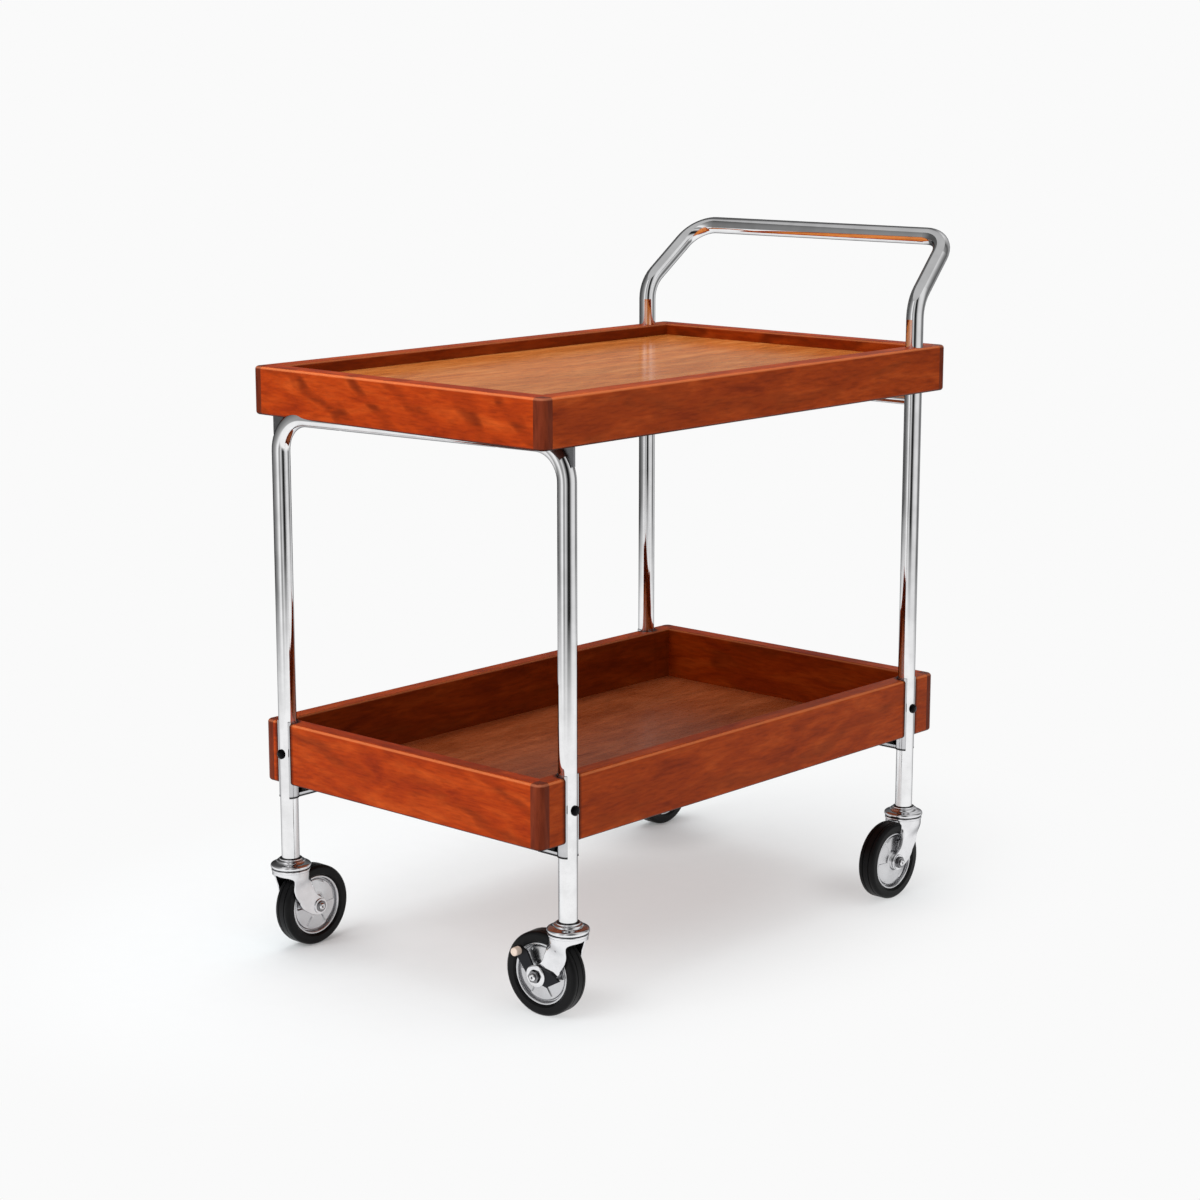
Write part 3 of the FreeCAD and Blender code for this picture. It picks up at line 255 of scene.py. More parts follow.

# %% [markdown]
# Light and shade are painted into a board's tone by where it faces. The rounded upper edges get a pale
# painted highlight, where the normal leans between up and out. The faces that look into the tray and the
# undersides get painted shade; on an inner face the normal points back to the middle of the cart. A dark
# painted shadow lies where a leg sits in its seat, a short distance from the leg's axis. All this could
# be painted on each board by hand; worked out from the normal and the place, it serves every board of both
# trays.

# %% Painted highlight and shade on the boards
# how much painted highlight the edges get, and how dark the painted shade under, inside and at the seats is
EDGE_HIGHLIGHT_SHARE = 0.55
UNDER_LEAN = (-0.7, -0.3)
UNDER_SHADE_TONE = 0.12
INSIDE_FACING = (-0.10, -0.02)
INSIDE_SHADE_TONE = 0.58
SEAT_SHADOW_MM = (13, 18)
SEAT_SHADOW_TONE = 0.1
legs = [(*joint["pos_m"][:2], 0) for joint in frame["joints"] if joint["name"].startswith("swivel_")]


def painted_highlight_and_shade(tree, place, colour, pale, seats):
    """A board's colour with painted pale edges, and painted shade inside, underneath and at seats round the
    axes given.
    """
    # painted highlight: the rounded upper edges, where the normal leans between up and out, are paler
    up = add(tree, "SeparateXYZ", Vector=place.outputs["Normal"]).outputs["Z"]
    share = (EDGE_HIGHLIGHT_SHARE, EDGE_HIGHLIGHT_SHARE, EDGE_HIGHLIGHT_SHARE, 1)
    none = (0, 0, 0, 1)
    leans = ((0.15, none), (0.45, share), (0.80, share), (0.96, none))
    edge = add(tree, "ValToRGB", {"stops": leans}, Fac=up).outputs["Color"]
    highlighted = add(tree, "Mix", {"data_type": "RGBA"}, _0=edge, _6=colour, _7=pale).outputs[2]
    # painted shade: the undersides are darker
    low, high = UNDER_LEAN
    tone = add(
        tree, "MapRange", Value=up, From_Min=low, From_Max=high, To_Min=UNDER_SHADE_TONE, To_Max=1.0
    ).outputs["Result"]
    flat = add(
        tree, "VectorMath", {"operation": "MULTIPLY"}, _0=place.outputs["Object"], _1=(1, 1, 0)
    ).outputs["Vector"]
    facing = add(
        tree, "VectorMath", {"operation": "DOT_PRODUCT"}, _0=place.outputs["Normal"], _1=flat
    ).outputs["Value"]
    # painted shade: the faces that look into the tray are darker
    low, high = INSIDE_FACING
    inside = add(
        tree, "MapRange", Value=facing, From_Min=low, From_Max=high, To_Min=INSIDE_SHADE_TONE, To_Max=1.0
    ).outputs["Result"]
    tone = add(tree, "Math", {"operation": "MULTIPLY"}, _0=tone, _1=inside).outputs[0]
    # painted shadow: dark round each leg's seat
    near, far = SEAT_SHADOW_MM
    for seat in seats:
        gap = add(tree, "VectorMath", {"operation": "DISTANCE"}, _0=flat, _1=seat).outputs["Value"]
        seat_shadow = add(
            tree, "MapRange", Value=gap, From_Min=near * MM, From_Max=far * MM, To_Min=SEAT_SHADOW_TONE, To_Max=1.0
        ).outputs["Result"]
        tone = add(tree, "Math", {"operation": "MULTIPLY"}, _0=tone, _1=seat_shadow).outputs[0]
    return add(
        tree, "Mix", {"data_type": "RGBA", "blend_type": "MULTIPLY"}, _0=1.0, _6=highlighted, _7=tone
    ).outputs[2]


print(len(legs), "seats for the legs")

# %% [markdown]
# The grain runs across the cart in the front and back rails, along it in the side rails, and upright in
# the corner posts, which are a darker wood. One finish could turn its grain from board to board by the
# node's name, but one for each direction keeps the flames where they look right. The hex values of a
# board run from its dark bands to its pale ones, and the last is the painted highlight on its rounded edges.

# %% Rails and posts
ALONG, ACROSS, UPRIGHT = 0, 1, 2


def cherry(name, grain, hexes, heart, tilt, flame, seats=(), gloss=0.28, level=0.06):
    """Oiled cherry for a tray's rails and posts; the fourth of its hexes is the painted highlight on the
    edges.
    """
    material, tree = blank(name)
    place = add(tree, "TexCoord")
    spot = place.outputs["Object"]
    colour = figure(tree, spot, grain, hexes, heart, tilt, flame)
    toned = painted_highlight_and_shade(tree, place, colour, linear(hexes[3]), seats)
    oiled(tree, spot, grain, toned, gloss, level)
    return material


# the fourth hex of each is the painted highlight on the rounded edges
CROSS_HEX = ("842606", "A03607", "B44814", "DC7E4C")
LONG_HEX = ("7E2A08", "9C3A0A", "B04A16", "DC7E4C")
POST_HEX = ("561F0E", "6A2A16", "7A341C", "B06A4C")
TOP_END_RINGS = (-0.45, 0.30, 0.66)
LOW_END_RINGS = (-0.47, 0.10, 0.15)
TOP_SIDE_RINGS = (0, -0.30, 0.62)
LOW_SIDE_RINGS = (0, -0.30, 0.18)
POST_RINGS = (0, 0, 0.4)
# a glowing red brown, with dark flames across the face
cherry_cross = cherry("oiled_cherry_across", ACROSS, CROSS_HEX, TOP_END_RINGS, tilt=24, flame=0.7)
# the lower rails also get a painted dark shadow round each leg's seat
cherry_cross_low = cherry(
    "oiled_cherry_across_low", ACROSS, CROSS_HEX, LOW_END_RINGS, tilt=14, flame=0.5, seats=legs)
# the same wood, calmer: long bands and few flames
cherry_long = cherry("oiled_cherry_along", ALONG, LONG_HEX, TOP_SIDE_RINGS, tilt=4, flame=0.35)
cherry_long_low = cherry(
    "oiled_cherry_along_low", ALONG, LONG_HEX, LOW_SIDE_RINGS, tilt=4, flame=0.35, seats=legs)
# a dark brown that sets off the corners
cherry_post = cherry("cherry_corner_post", UPRIGHT, POST_HEX, POST_RINGS, tilt=2, flame=0.3)
for label, node in nodes.items():
    if label.endswith(("front_rail", "back_rail")) or label == "front_cleat":
        node.data.materials[0] = cherry_cross_low if label.startswith("lower") else cherry_cross
    elif label.endswith(("left_rail", "right_rail")):
        node.data.materials[0] = cherry_long_low if label.startswith("lower") else cherry_long
    elif "_tray_post_" in label:
        node.data.materials[0] = cherry_post
finishes = (cherry_cross, cherry_cross_low, cherry_long, cherry_long_low, cherry_post)
print("rails and posts:", [finish.name for finish in finishes])

# %% [markdown]
# The tray panels are glued up from narrow boards, so the tone changes a little from one board to the
# next, with a hair line at each joint. The board number is the whole part of the place across the tray
# divided by the board's width, and a random tone is looked up from it. Separate boards in the mesh would
# show no more, as their joints are flush. The top panel has a varnish that mirrors the back leg and the
# push bar softly; the lower one is duller.

# %% Panels
BOARD_MM = 104
BOARD_TONES = (0.84, 1.06)
BOARD_TILT = 3
BOARD_FLAME = 0.2
JOINT_MM = 0.8
JOINT_TONE = 0.7


def glued_cherry(name, hexes, heart, gloss, level):
    """Cherry boards side by side along X, each with a tone of its own."""
    material, tree = blank(name)
    spot = add(tree, "TexCoord").outputs["Object"]
    colour = figure(tree, spot, ALONG, hexes, heart, BOARD_TILT, BOARD_FLAME)
    across = add(tree, "SeparateXYZ", Vector=spot).outputs["Y"]
    count = add(tree, "Math", {"operation": "DIVIDE"}, _0=across, _1=BOARD_MM * MM).outputs[0]
    number = add(tree, "Math", {"operation": "FLOOR"}, _0=count).outputs[0]
    chance = add(tree, "TexWhiteNoise", {"noise_dimensions": "1D"}, W=number).outputs["Value"]
    low, high = BOARD_TONES
    tone = add(tree, "MapRange", Value=chance, To_Min=low, To_Max=high).outputs["Result"]
    part = add(tree, "Math", {"operation": "FRACT"}, _0=count).outputs[0]
    joint = add(
        tree, "Math", {"operation": "GREATER_THAN"}, _0=part, _1=1 - JOINT_MM / BOARD_MM
    ).outputs[0]
    line = add(tree, "MapRange", Value=joint, To_Min=1.0, To_Max=JOINT_TONE).outputs["Result"]
    both = add(tree, "Math", {"operation": "MULTIPLY"}, _0=tone, _1=line).outputs[0]
    toned = add(
        tree, "Mix", {"data_type": "RGBA", "blend_type": "MULTIPLY"}, _0=1.0, _6=colour, _7=both
    ).outputs[2]
    oiled(tree, spot, ALONG, toned, gloss, level)
    return material


TOP_PANEL_HEX = ("B8642A", "CC7838", "DA8C4C")
# the lower panel's darker hexes are painted shade from the top tray
SHADED_LOW_PANEL_HEX = ("8C421E", "A0522C", "B06038")
TOP_PANEL_RINGS = (0, 0.4, 0.5)
LOW_PANEL_RINGS = (0, 0.4, 0.1)
# an orange brown under a smooth varnish with soft reflections
nodes["top_tray_panel"].data.materials[0] = glued_cherry(
    "varnished_cherry_boards", TOP_PANEL_HEX, TOP_PANEL_RINGS, gloss=0.12, level=0.1)
# a deeper brown that is painted shade from the top tray, with a broad dull sheen
nodes["lower_tray_panel"].data.materials[0] = glued_cherry(
    "varnished_cherry_boards_low", SHADED_LOW_PANEL_HEX, LOW_PANEL_RINGS, gloss=0.24, level=0.25)
print("two panels of boards", BOARD_MM, "mm wide")

# %% [markdown]
# Chrome plate is a thin bright metal layer over polished steel. It mirrors the room, so it gets a low
# roughness that a very faint haze lifts here and there, and a grey tint near the grazing angle, which
# draws the thin dark line along each side of a tube. The other metals are duller. A perfect mirror would
# be simpler, but plating is never that even, and the haze is what tells chrome from glass. One function
# makes them all, because they differ only in colour, roughness and the grain of their haze.

# %% Metal finish
# the share of its tone that a painted shadow band keeps at its dark edge
SHADOW_BAND_TONE = 0.06


def metal(name, code, rough, haze, haze_mm, graze="FFFFFF", shadow_band=None):
    """A metal whose roughness goes up and down by a haze of a given grain; graze tints its steep angles.

    A shadow band is two heights, between which the colour rises from a painted dark shade to its full tone."""
    material, tree = blank(name)
    spot = add(tree, "TexCoord").outputs["Object"]
    cloud = add(
        tree, "TexNoise", Vector=spot, Scale=1 / (haze_mm * MM), Detail=4.0, Roughness=0.6
    ).outputs["Fac"]
    dull = add(
        tree, "MapRange", Value=cloud, From_Min=0.3, From_Max=0.7, To_Min=rough, To_Max=rough + haze
    ).outputs["Result"]
    colour = add(
        tree, "ValToRGB", {"stops": ((0.35, linear(code, 0.9)), (0.6, linear(code)))}, Fac=cloud
    ).outputs["Color"]
    # painted shadow: darker towards the lower edge
    if shadow_band is not None:
        height = add(tree, "SeparateXYZ", Vector=spot).outputs["Z"]
        tone = add(
            tree, "MapRange", Value=height, From_Min=shadow_band[0], From_Max=shadow_band[1], To_Min=SHADOW_BAND_TONE, To_Max=1.0
        ).outputs["Result"]
        colour = add(
            tree, "Mix", {"data_type": "RGBA", "blend_type": "MULTIPLY"}, _0=1.0, _6=colour, _7=tone
        ).outputs[2]
    shader = add(
        tree,
        "BsdfPrincipled",
        Base_Color=colour,
        Metallic=1.0,
        Roughness=dull,
        Specular_Tint=linear(graze),
    )
    add(tree, "OutputMaterial", Surface=shader.outputs["BSDF"])
    return material


print("a rim keeps", SHADOW_BAND_TONE, "of its tone")

# %% [markdown]
# The frame, the saddles and the pressings of the casters are chrome plated. The saddles are a greyer chrome,
# which is painted shade, and on their feet, under the lower tray, a painted dark shadow runs along the lower
# edge. Bolts, tabs and stems are zinc plated, the leg screws are black, the brake's lever is burnished steel,
# and the wheels are bare pressed aluminium. Most of the solids are right as they are, so they only take a
# finish, and a node's name says which. The wheel discs, caps and forks get a finer shape further on.

# %% Metals
# heights over the saddles' lowest point between which their painted shadow fades out
SADDLE_SHADOW_MM = (1.8, 2.8)
ZINC_PIECES = ("axle_", "caster_", "front_support_tab", "front_run_screws", "top_tray_leg_screws")
saddle_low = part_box("lower_tray_saddles")[0][2]
saddle_shadow_band = [saddle_low + height * MM for height in SADDLE_SHADOW_MM]
# a hard mirror, with the room drawn out in lines along the tube
chrome_tube = metal("chrome_plated_tube", "F4F4F5", 0.03, 0.03, 25, "808082")
# a softer mirror, as pressing leaves the sheet a little uneven
chrome_cast = metal("chrome_plated_pressing", "F0F0F2", 0.07, 0.04, 20, "707072")
# a greyer mirror, which is painted shade, with a painted dark shadow along its lower edge
shaded_saddle_chrome = metal("chrome_plated_saddle", "CCCCCE", 0.06, 0.04, 20, "707072", saddle_shadow_band)
# satin grey, which catches light as a dull patch
zinc = metal("zinc_plated_steel", "8A8A8C", 0.24, 0.10, 6)
# nearly black, with a faint sheen
black_oxide = metal("black_oxide_steel", "141416", 0.30, 0.15, 3)
# dark grey, rubbed to a broad soft glint
dark_steel = metal("dark_burnished_steel", "303134", 0.34, 0.16, 5)
# bright but not a mirror: light spreads in wide soft bands
aluminium = metal("pressed_aluminium", "D8D8DA", 0.22, 0.04, 30, "909092")
for label, node in nodes.items():
    if label.endswith(("_tube", "_crossbar")):
        node.data.materials[0] = chrome_tube
    elif label == "lower_tray_saddles":
        node.data.materials[0] = shaded_saddle_chrome
    elif label.startswith("fork_") or label == "caster_caps":
        node.data.materials[0] = chrome_cast
    elif label.startswith(ZINC_PIECES):
        node.data.materials[0] = zinc
    elif label == "leg_screws":
        node.data.materials[0] = black_oxide
    elif label == "brake_lever":
        node.data.materials[0] = dark_steel
    elif label.startswith("wheel_disc"):
        node.data.materials[0] = aluminium
finishes = (chrome_tube, chrome_cast, shaded_saddle_chrome, zinc, black_oxide, dark_steel, aluminium)
print("metals:", [finish.name for finish in finishes])

# %% [markdown]
# Rubber and plastics. A moulded tyre is nearly black with a dull sheen and a fine grit; the plugs in the
# legs' ends are black nylon, the wheel bushes plain nylon, and the brake's knob is a cream plastic. A
# mould leaves its own fine texture on all of them, so one function with a grit and a worn tone does for
# the four, where a flat colour would look like paint.

# %% Rubber and plastics
WEAR_MM = 20
ROUGH_SPREAD = 0.08


def moulded(name, code, worn_code, rough, level, grain_mm, relief_mm):
    """A moulded surface with a grain of its own and a second, worn tone."""
    material, tree = blank(name)
    spot = add(tree, "TexCoord").outputs["Object"]
    grit = add(
        tree, "TexNoise", Vector=spot, Scale=1 / (grain_mm * MM), Detail=3.0, Roughness=0.6
    ).outputs["Fac"]
    wear = add(tree, "TexNoise", Vector=spot, Scale=1 / (WEAR_MM * MM), Detail=4.0).outputs["Fac"]
    colour = add(tree, "ValToRGB", {"stops": ((0.4, linear(code)), (0.75, linear(worn_code)))}, Fac=wear)
    dull = add(
        tree, "MapRange", Value=grit, To_Min=rough - ROUGH_SPREAD, To_Max=rough + ROUGH_SPREAD
    ).outputs["Result"]
    relief = add(tree, "Bump", Strength=0.3, Distance=relief_mm * MM, Height=grit).outputs["Normal"]
    shader = add(
        tree,
        "BsdfPrincipled",
        Base_Color=colour.outputs["Color"],
        Roughness=dull,
        Normal=relief,
        IOR=1.5,
        Specular_IOR_Level=level,
    )
    add(tree, "OutputMaterial", Surface=shader.outputs["BSDF"])
    return material


# black with a dull sheen and a grit that holds dust
rubber = moulded("black_tyre_rubber", "070708", "0E0E0F", 0.42, 0.16, 1.2, 0.06)
# black and smooth, with a small highlight
black_nylon = moulded("black_nylon", "0E0E0F", "161618", 0.35, 0.3, 0.8, 0.02)
# milky and waxy
nylon = moulded("plain_nylon", "D9D6CC", "C9C4B6", 0.42, 0.4, 0.8, 0.02)
# a warm cream with a soft highlight and darker patches
cream_plastic = moulded("cream_plastic", "DCCABC", "C8B2A0", 0.38, 0.4, 0.6, 0.03)
for label, node in nodes.items():
    if label.startswith("wheel_tyre") or label == "lower_tray_pads":
        node.data.materials[0] = rubber
    elif label.startswith("wheel_bush"):
        node.data.materials[0] = nylon
    elif label == "leg_ferrules":
        node.data.materials[0] = black_nylon
    elif label == "brake_knob":
        node.data.materials[0] = cream_plastic
print("moulded:", [finish.name for finish in (rubber, black_nylon, nylon, cream_plastic)])

# %% [markdown]
# Spun and pressed pieces come next. Most of them are a profile turned round an axis, so the grid of
# points closes both along the profile and round the axis, and no seam or pole is left open. Corners of a
# profile are eased first, because sheet metal has no sharp edge and a rounded one catches a line of
# light. A Bevel modifier could do that later, but on a turned grid it would have to find the edges again.

# %% Eased profiles
# the largest part of an edge that the curve at one of its ends may take
EASE_LIMIT = 0.45


def eased(polygon, reach, steps=4):
    """A closed polygon with each corner replaced by a parabola that starts and ends at a reach from it."""
    here = np.array(polygon, float)
    before, after = np.roll(here, 1, 0) - here, np.roll(here, -1, 0) - here
    size_before = np.linalg.norm(before, axis=1, keepdims=True)
    size_after = np.linalg.norm(after, axis=1, keepdims=True)
    start = here + before / size_before * np.minimum(reach, EASE_LIMIT * size_before)
    stop = here + after / size_after * np.minimum(reach, EASE_LIMIT * size_after)
    t = np.linspace(0, 1, steps)[None, :, None]
    curve = (1 - t) ** 2 * start[:, None] + 2 * t * (1 - t) * here[:, None] + t ** 2 * stop[:, None]
    return curve.reshape(-1, 2)


def smooth(low, high, value):
    """Zero below low, one above high, with a level start and end between."""
    t = np.clip((value - low) / (high - low), 0, 1)
    return t * t * (3 - 2 * t)


print("a square with eased corners has", len(eased([(0, 0), (1, 0), (1, 1), (0, 1)], 0.2)), "points")

# %% [markdown]
# A lathe would turn these pieces from a bar, and Blender's Screw modifier does the same to an outline. Here
# the turned points are worked out as one array, so that a piece may also be waved along its axis, and its
# place in the cart goes straight into its mesh. Several shells can make up one piece, which then rides on
# a body of the cart.

# %% Turned shells
def outward(points, quads):
    """The same faces, turned round if the volume that they enclose comes out negative."""
    corner = points[quads] - points.mean(0)
    volume = np.einsum("ij,ij->i", corner[:, 0], np.cross(corner[:, 1], corner[:, 2])).sum()
    return points, (quads[:, ::-1] if volume < 0 else quads)


def turned(profile, centre, axis, segments, lift=None):
    """Points and faces of a closed (radius, along) profile, in mm, turned round an axis.

    Each point is the centre plus the axis times its place along it, plus its radius times the cosine of
    the angle in one direction across the axis and the sine in the other. A lift function of angle,
    radius and place moves points along the axis."""
    angle = np.linspace(0, 2 * np.pi, segments, endpoint=False)[:, None]
    radius, place = profile[None, :, 0], profile[None, :, 1]
    if lift is not None:
        place = place + lift(angle, radius, place)
    place = np.broadcast_to(place, (segments, len(profile)))
    forward = np.array(axis, float) / np.linalg.norm(axis)
    side = np.cross((0, 0, 1) if abs(forward[2]) < 0.9 else (1, 0, 0), forward)
    out = np.cos(angle)[..., None] * side + np.sin(angle)[..., None] * np.cross(forward, side)
    points = np.array(centre) + MM * (out * radius[..., None] + place[..., None] * forward)
    index = np.arange(segments * len(profile)).reshape(segments, -1)
    right = np.roll(index, -1, 1)
    quads = np.stack([index, right, np.roll(right, -1, 0), np.roll(index, -1, 0)], -1).reshape(-1, 4)
    return outward(points.reshape(-1, 3), quads)


def assembled(name, shells, material, body, sharp=40):
    """One piece from several closed shells, each a pair of points and faces, riding on a body."""
    points, faces, start = [], [], 0
    for shell_points, shell_faces in shells:
        points.extend(shell_points.tolist())
        faces.extend([[int(corner) + start for corner in face] for face in shell_faces])
        start += len(shell_points)
    mesh = bpy.data.meshes.new(name)
    mesh.from_pydata(points, [], faces)
    mesh.shade_smooth()
    mesh.set_sharp_from_angle(angle=math.radians(sharp))
    mesh.materials.append(material)
    piece = bpy.data.objects.new(name, mesh)
    scene.collection.objects.link(piece)
    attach(piece, body)
    return piece


wheels = {joint["child"]: joint for joint in frame["joints"] if joint["name"].startswith("roll_")}
swivels = {joint["child"]: joint for joint in frame["joints"] if joint["name"].startswith("swivel_")}
print("wheels", list(wheels), "on swivels", list(swivels))

# %% [markdown]
# A pressed wheel centre. The disc has a hub that carries the bush, a cone with six sectors that each
# slope up to a crease and drop back, a deep channel, and a rolled lip that holds the tyre. The profile
# is turned round the axle; the slope of the sectors is added along the axle, and fades out towards the
# hub and the channel, which stays dark and draws a ring inside the bright lip. A displacement in the
# material would be lighter, but it is lost in the exported model.

# %% Wheel centres
SECTORS = 6
CREASE_MM = 1.3
CREASE_SHARE = 0.05
HUB_EDGE_MM = (13.5, 16.5)
CHANNEL_EDGE_MM = (28.5, 30.8)


def sectors(angle, radius, place):
    """How far each face of the disc stands out: a saw-tooth in the angle, between hub and channel."""
    turn = (angle * SECTORS / (2 * np.pi)) % 1
    saw = np.where(turn < 1 - CREASE_SHARE, turn / (1 - CREASE_SHARE), (1 - turn) / CREASE_SHARE)
    window = smooth(*HUB_EDGE_MM, radius) * (1 - smooth(*CHANNEL_EDGE_MM, radius))
    return np.sign(place) * window * CREASE_MM * (saw - 0.5)


# radius and height over the wheel's middle plane, in mm, from the bore out to the lip
disc_face = [
    (6.3, 13.2), (9.4, 13.2), (10.4, 12.4), (11.4, 9.9), (13.5, 9), (17, 8.6), (20, 8.2), (23, 7.85),
    (26, 7.5), (28.5, 7.2), (31.2, 6.9), (31.9, 6.2), (31.9, 4.2), (33.7, 4.2), (33.9, 8.6), (34.8, 9.8),
    (36.4, 9.8), (37.3, 8.8)]
disc_back = [(radius, -height) for radius, height in disc_face[::-1]]
disc_profile = eased(disc_face + disc_back, reach=0.5)
for body, joint in wheels.items():
    leg = body.removeprefix("wheel_")
    shell = turned(disc_profile, joint["pos_m"], joint["axis"], segments=240, lift=sectors)
    disc = assembled("wheel_centre_" + leg, [shell], aluminium, body)
    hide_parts("wheel_disc_" + leg)
print(len(wheels), "wheel centres with", SECTORS, "sectors")

# %% [markdown]
# A swivel cap is spun from sheet steel: a thick rolled edge that hides the ring of balls, a bell that
# flares up from it, and a neck with two beads round the leg's plug. A spinner forms it over a wooden
# block, and turning a profile is the same work. All four come from one profile and are kept as one mesh.

# %% Swivel caps
# radius and height over the floor, in mm
cap_profile = eased(
    [(5.4, 104.3), (22.6, 104.3), (24.5, 105.4), (25, 107.3), (24.4, 109.2), (22.4, 110.4), (20, 110.9),
     (18.2, 111.7), (17.2, 112.8), (16.9, 113.9), (15.8, 114.4), (14.8, 114.6), (14.2, 115.2), (14.3, 116),
     (13.6, 116.5), (12.7, 116.2), (12.7, 115.05), (5.4, 115.05)],
    reach=0.9,
    steps=5,
)
cap_shells = [
    turned(cap_profile, (*joint["pos_m"][:2], 0), (0, 0, 1), segments=120) for joint in swivels.values()]
caps = assembled("swivel_caps", cap_shells, chrome_cast, "cart")
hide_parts("caster_caps")
print(len(swivels), "caps of", len(cap_profile), "profile points")

# %% [markdown]
# A fork is pressed from one sheet: a round hood under the cap, whose sides run down as two arms to the
# axle. Seen from the wheel's side, the front edge rises in an arch under the hood, falls nearly straight,
# and sweeps round below the axle. A Bezier outline could be drawn by hand, but a grid needs one front and
# one back edge at every height, and a cubic line through a few heights gives just that.

# %% Fork outline
CROWN_MM = 103.5
ELBOW_MM = 60
# height over the floor, front edge and back edge from the swivel's axis, in mm, from the elbow to the crown
ARM_EDGES = (
    (60, 0, 36.6), (64, -3, 30), (69, -6.2, 25.4), (75, -8.2, 22.8), (83, -9.6, 21.8), (88, -10.6, 21.5),
    (91.5, -12, 21.1), (94, -14.6, 20.8), (95.8, -18.6, 20.6), (96.8, -22.6, 20.6), (97.8, -23, 20.8),
    (100, -23, 21.8), (103.5, -23, 23))
swivel_place, axle_place = swivels["swivel_front_left"]["pos_m"], wheels["wheel_front_left"]["pos_m"]
TRAIL_MM = math.dist(swivel_place[:2], axle_place[:2]) / MM
AXLE_MM = axle_place[2] / MM


def flowing(heights, values, z):
    """A smooth line through points: a cubic between each two, with the mean slopes of their neighbours."""
    slope = np.gradient(values, heights)
    i = np.clip(np.searchsorted(heights, z) - 1, 0, len(heights) - 2)
    span = heights[i + 1] - heights[i]
    t = (z - heights[i]) / span
    start = (1 + 2 * t) * (1 - t) ** 2 * values[i] + t * (1 - t) ** 2 * span * slope[i]
    return start + t * t * (3 - 2 * t) * values[i + 1] + t * t * (t - 1) * span * slope[i + 1]


print("axle", round(AXLE_MM, 3), "mm up, trailing by", round(TRAIL_MM, 3), "mm")

# %% [markdown]
# Each half of the fork is a sheet in the wheel's side view. At every height it reaches from the front edge
# to the back edge, and its distance from the wheel's plane blends from the hood's circle into the arm's
# flat. A second sheet one thickness further in closes it, and half circles round off its edges. A flat
# plate with Solidify and Bevel would give the arms, but not their flow into the round hood.

# %% Half a fork
HOOD_MM = 23
ARM_MM = 16.5
SHEET_MM = 2.5
BOSS_MM = 11
SWEEP = 1.6
ARCH_MM = (90, 98)
BEAD_END_MM = (95, 98)
HOOD_BLEND_MM = (76, 96)
# half the width that is left at the lowest row, so that no face shrinks to a line
TIP_MM = 0.02


def fork_half(columns=27):
    """Closed points and faces of the half at +y, in mm, with the wheel trailing along +x.

    Below the elbow the front edge is a quarter of a rounded lozenge, and the back edge is the circle of
    the boss."""
    height, front, back = np.array(ARM_EDGES, float).T
    low_end = AXLE_MM - BOSS_MM
    arch_low, arch_high = ARCH_MM
    hood_rows = np.linspace(CROWN_MM, arch_high, 8, endpoint=False)
    arch_rows = np.linspace(arch_high, arch_low, 32, endpoint=False)
    arm_rows = np.linspace(arch_low, ELBOW_MM, 22, endpoint=False)
    boss_rows = ELBOW_MM - (ELBOW_MM - low_end) * np.sin(np.linspace(0, 1, 34) * np.pi / 2)
    z = np.concatenate([hood_rows, arch_rows, arm_rows, boss_rows])
    fall = np.clip((ELBOW_MM - z) / (ELBOW_MM - low_end), 0, 1)
    sweep = TRAIL_MM * (1 - (1 - fall ** SWEEP) ** (1 / SWEEP))
    swell = np.sqrt(np.clip(BOSS_MM ** 2 - (z - AXLE_MM) ** 2, TIP_MM ** 2, None))
    low = np.where(z > ELBOW_MM, flowing(height, front, z), np.minimum(sweep, TRAIL_MM - TIP_MM))
    high = np.where(z > ELBOW_MM, flowing(height, back, z), TRAIL_MM + swell)
    bead = np.minimum(SHEET_MM / 2, EASE_LIMIT * (high - low)) * (1 - smooth(*BEAD_END_MM, z))
    low, high, bead = low[:, None], high[:, None], bead[:, None]
    share = (np.sin(np.linspace(-1, 1, columns) * np.pi / 2) + 1) / 2
    flat = low + bead + (high - low - 2 * bead) * share
    turn = np.linspace(np.pi / 2, -np.pi / 2, 9)[1:-1]
    x = np.concatenate(
        [flat, high - bead + bead * np.cos(turn), flat[:, ::-1], low + bead - bead * np.cos(turn)], 1)
    depth = SHEET_MM / 2 * (1 - np.sin(turn))
    inset = np.concatenate([np.zeros(columns), depth, np.full(columns, SHEET_MM), depth[::-1]])
    inner = 1 - inset / HOOD_MM
    blend = smooth(*HOOD_BLEND_MM, z)[:, None]
    hood = np.sqrt(np.clip((HOOD_MM * inner) ** 2 - (x * inner) ** 2, 0, None))
    y = blend * hood + (1 - blend) * (ARM_MM - inset)
    x = x - blend * (1 - inner) * x
    points = np.stack([x, y, np.broadcast_to(z[:, None], x.shape)], -1)
    index = np.arange(x.size).reshape(x.shape)
    right = np.roll(index, -1, 1)
    quads = np.stack([index[:-1], right[:-1], right[1:], index[1:]], -1).reshape(-1, 4)
    points, turned_quads = outward(points.reshape(-1, 3), quads)
    ends = [index[0][::-1].tolist(), index[-1].tolist()]
    if turned_quads is not quads:
        ends = [end[::-1] for end in ends]
    return points, turned_quads.tolist() + ends


half_points, half_faces = fork_half()
print("half a fork has", len(half_points), "points")

# %% [markdown]
# The half is drawn about a swivel at the origin, so for each caster it is turned to where its wheel trails
# and moved under its leg. Its mirror image has its faces turned round, so that they point outwards too. A
# turned crown plate joins the halves under the cap. Parented copies would be shorter to write, but a piece
# here has its place in its mesh.

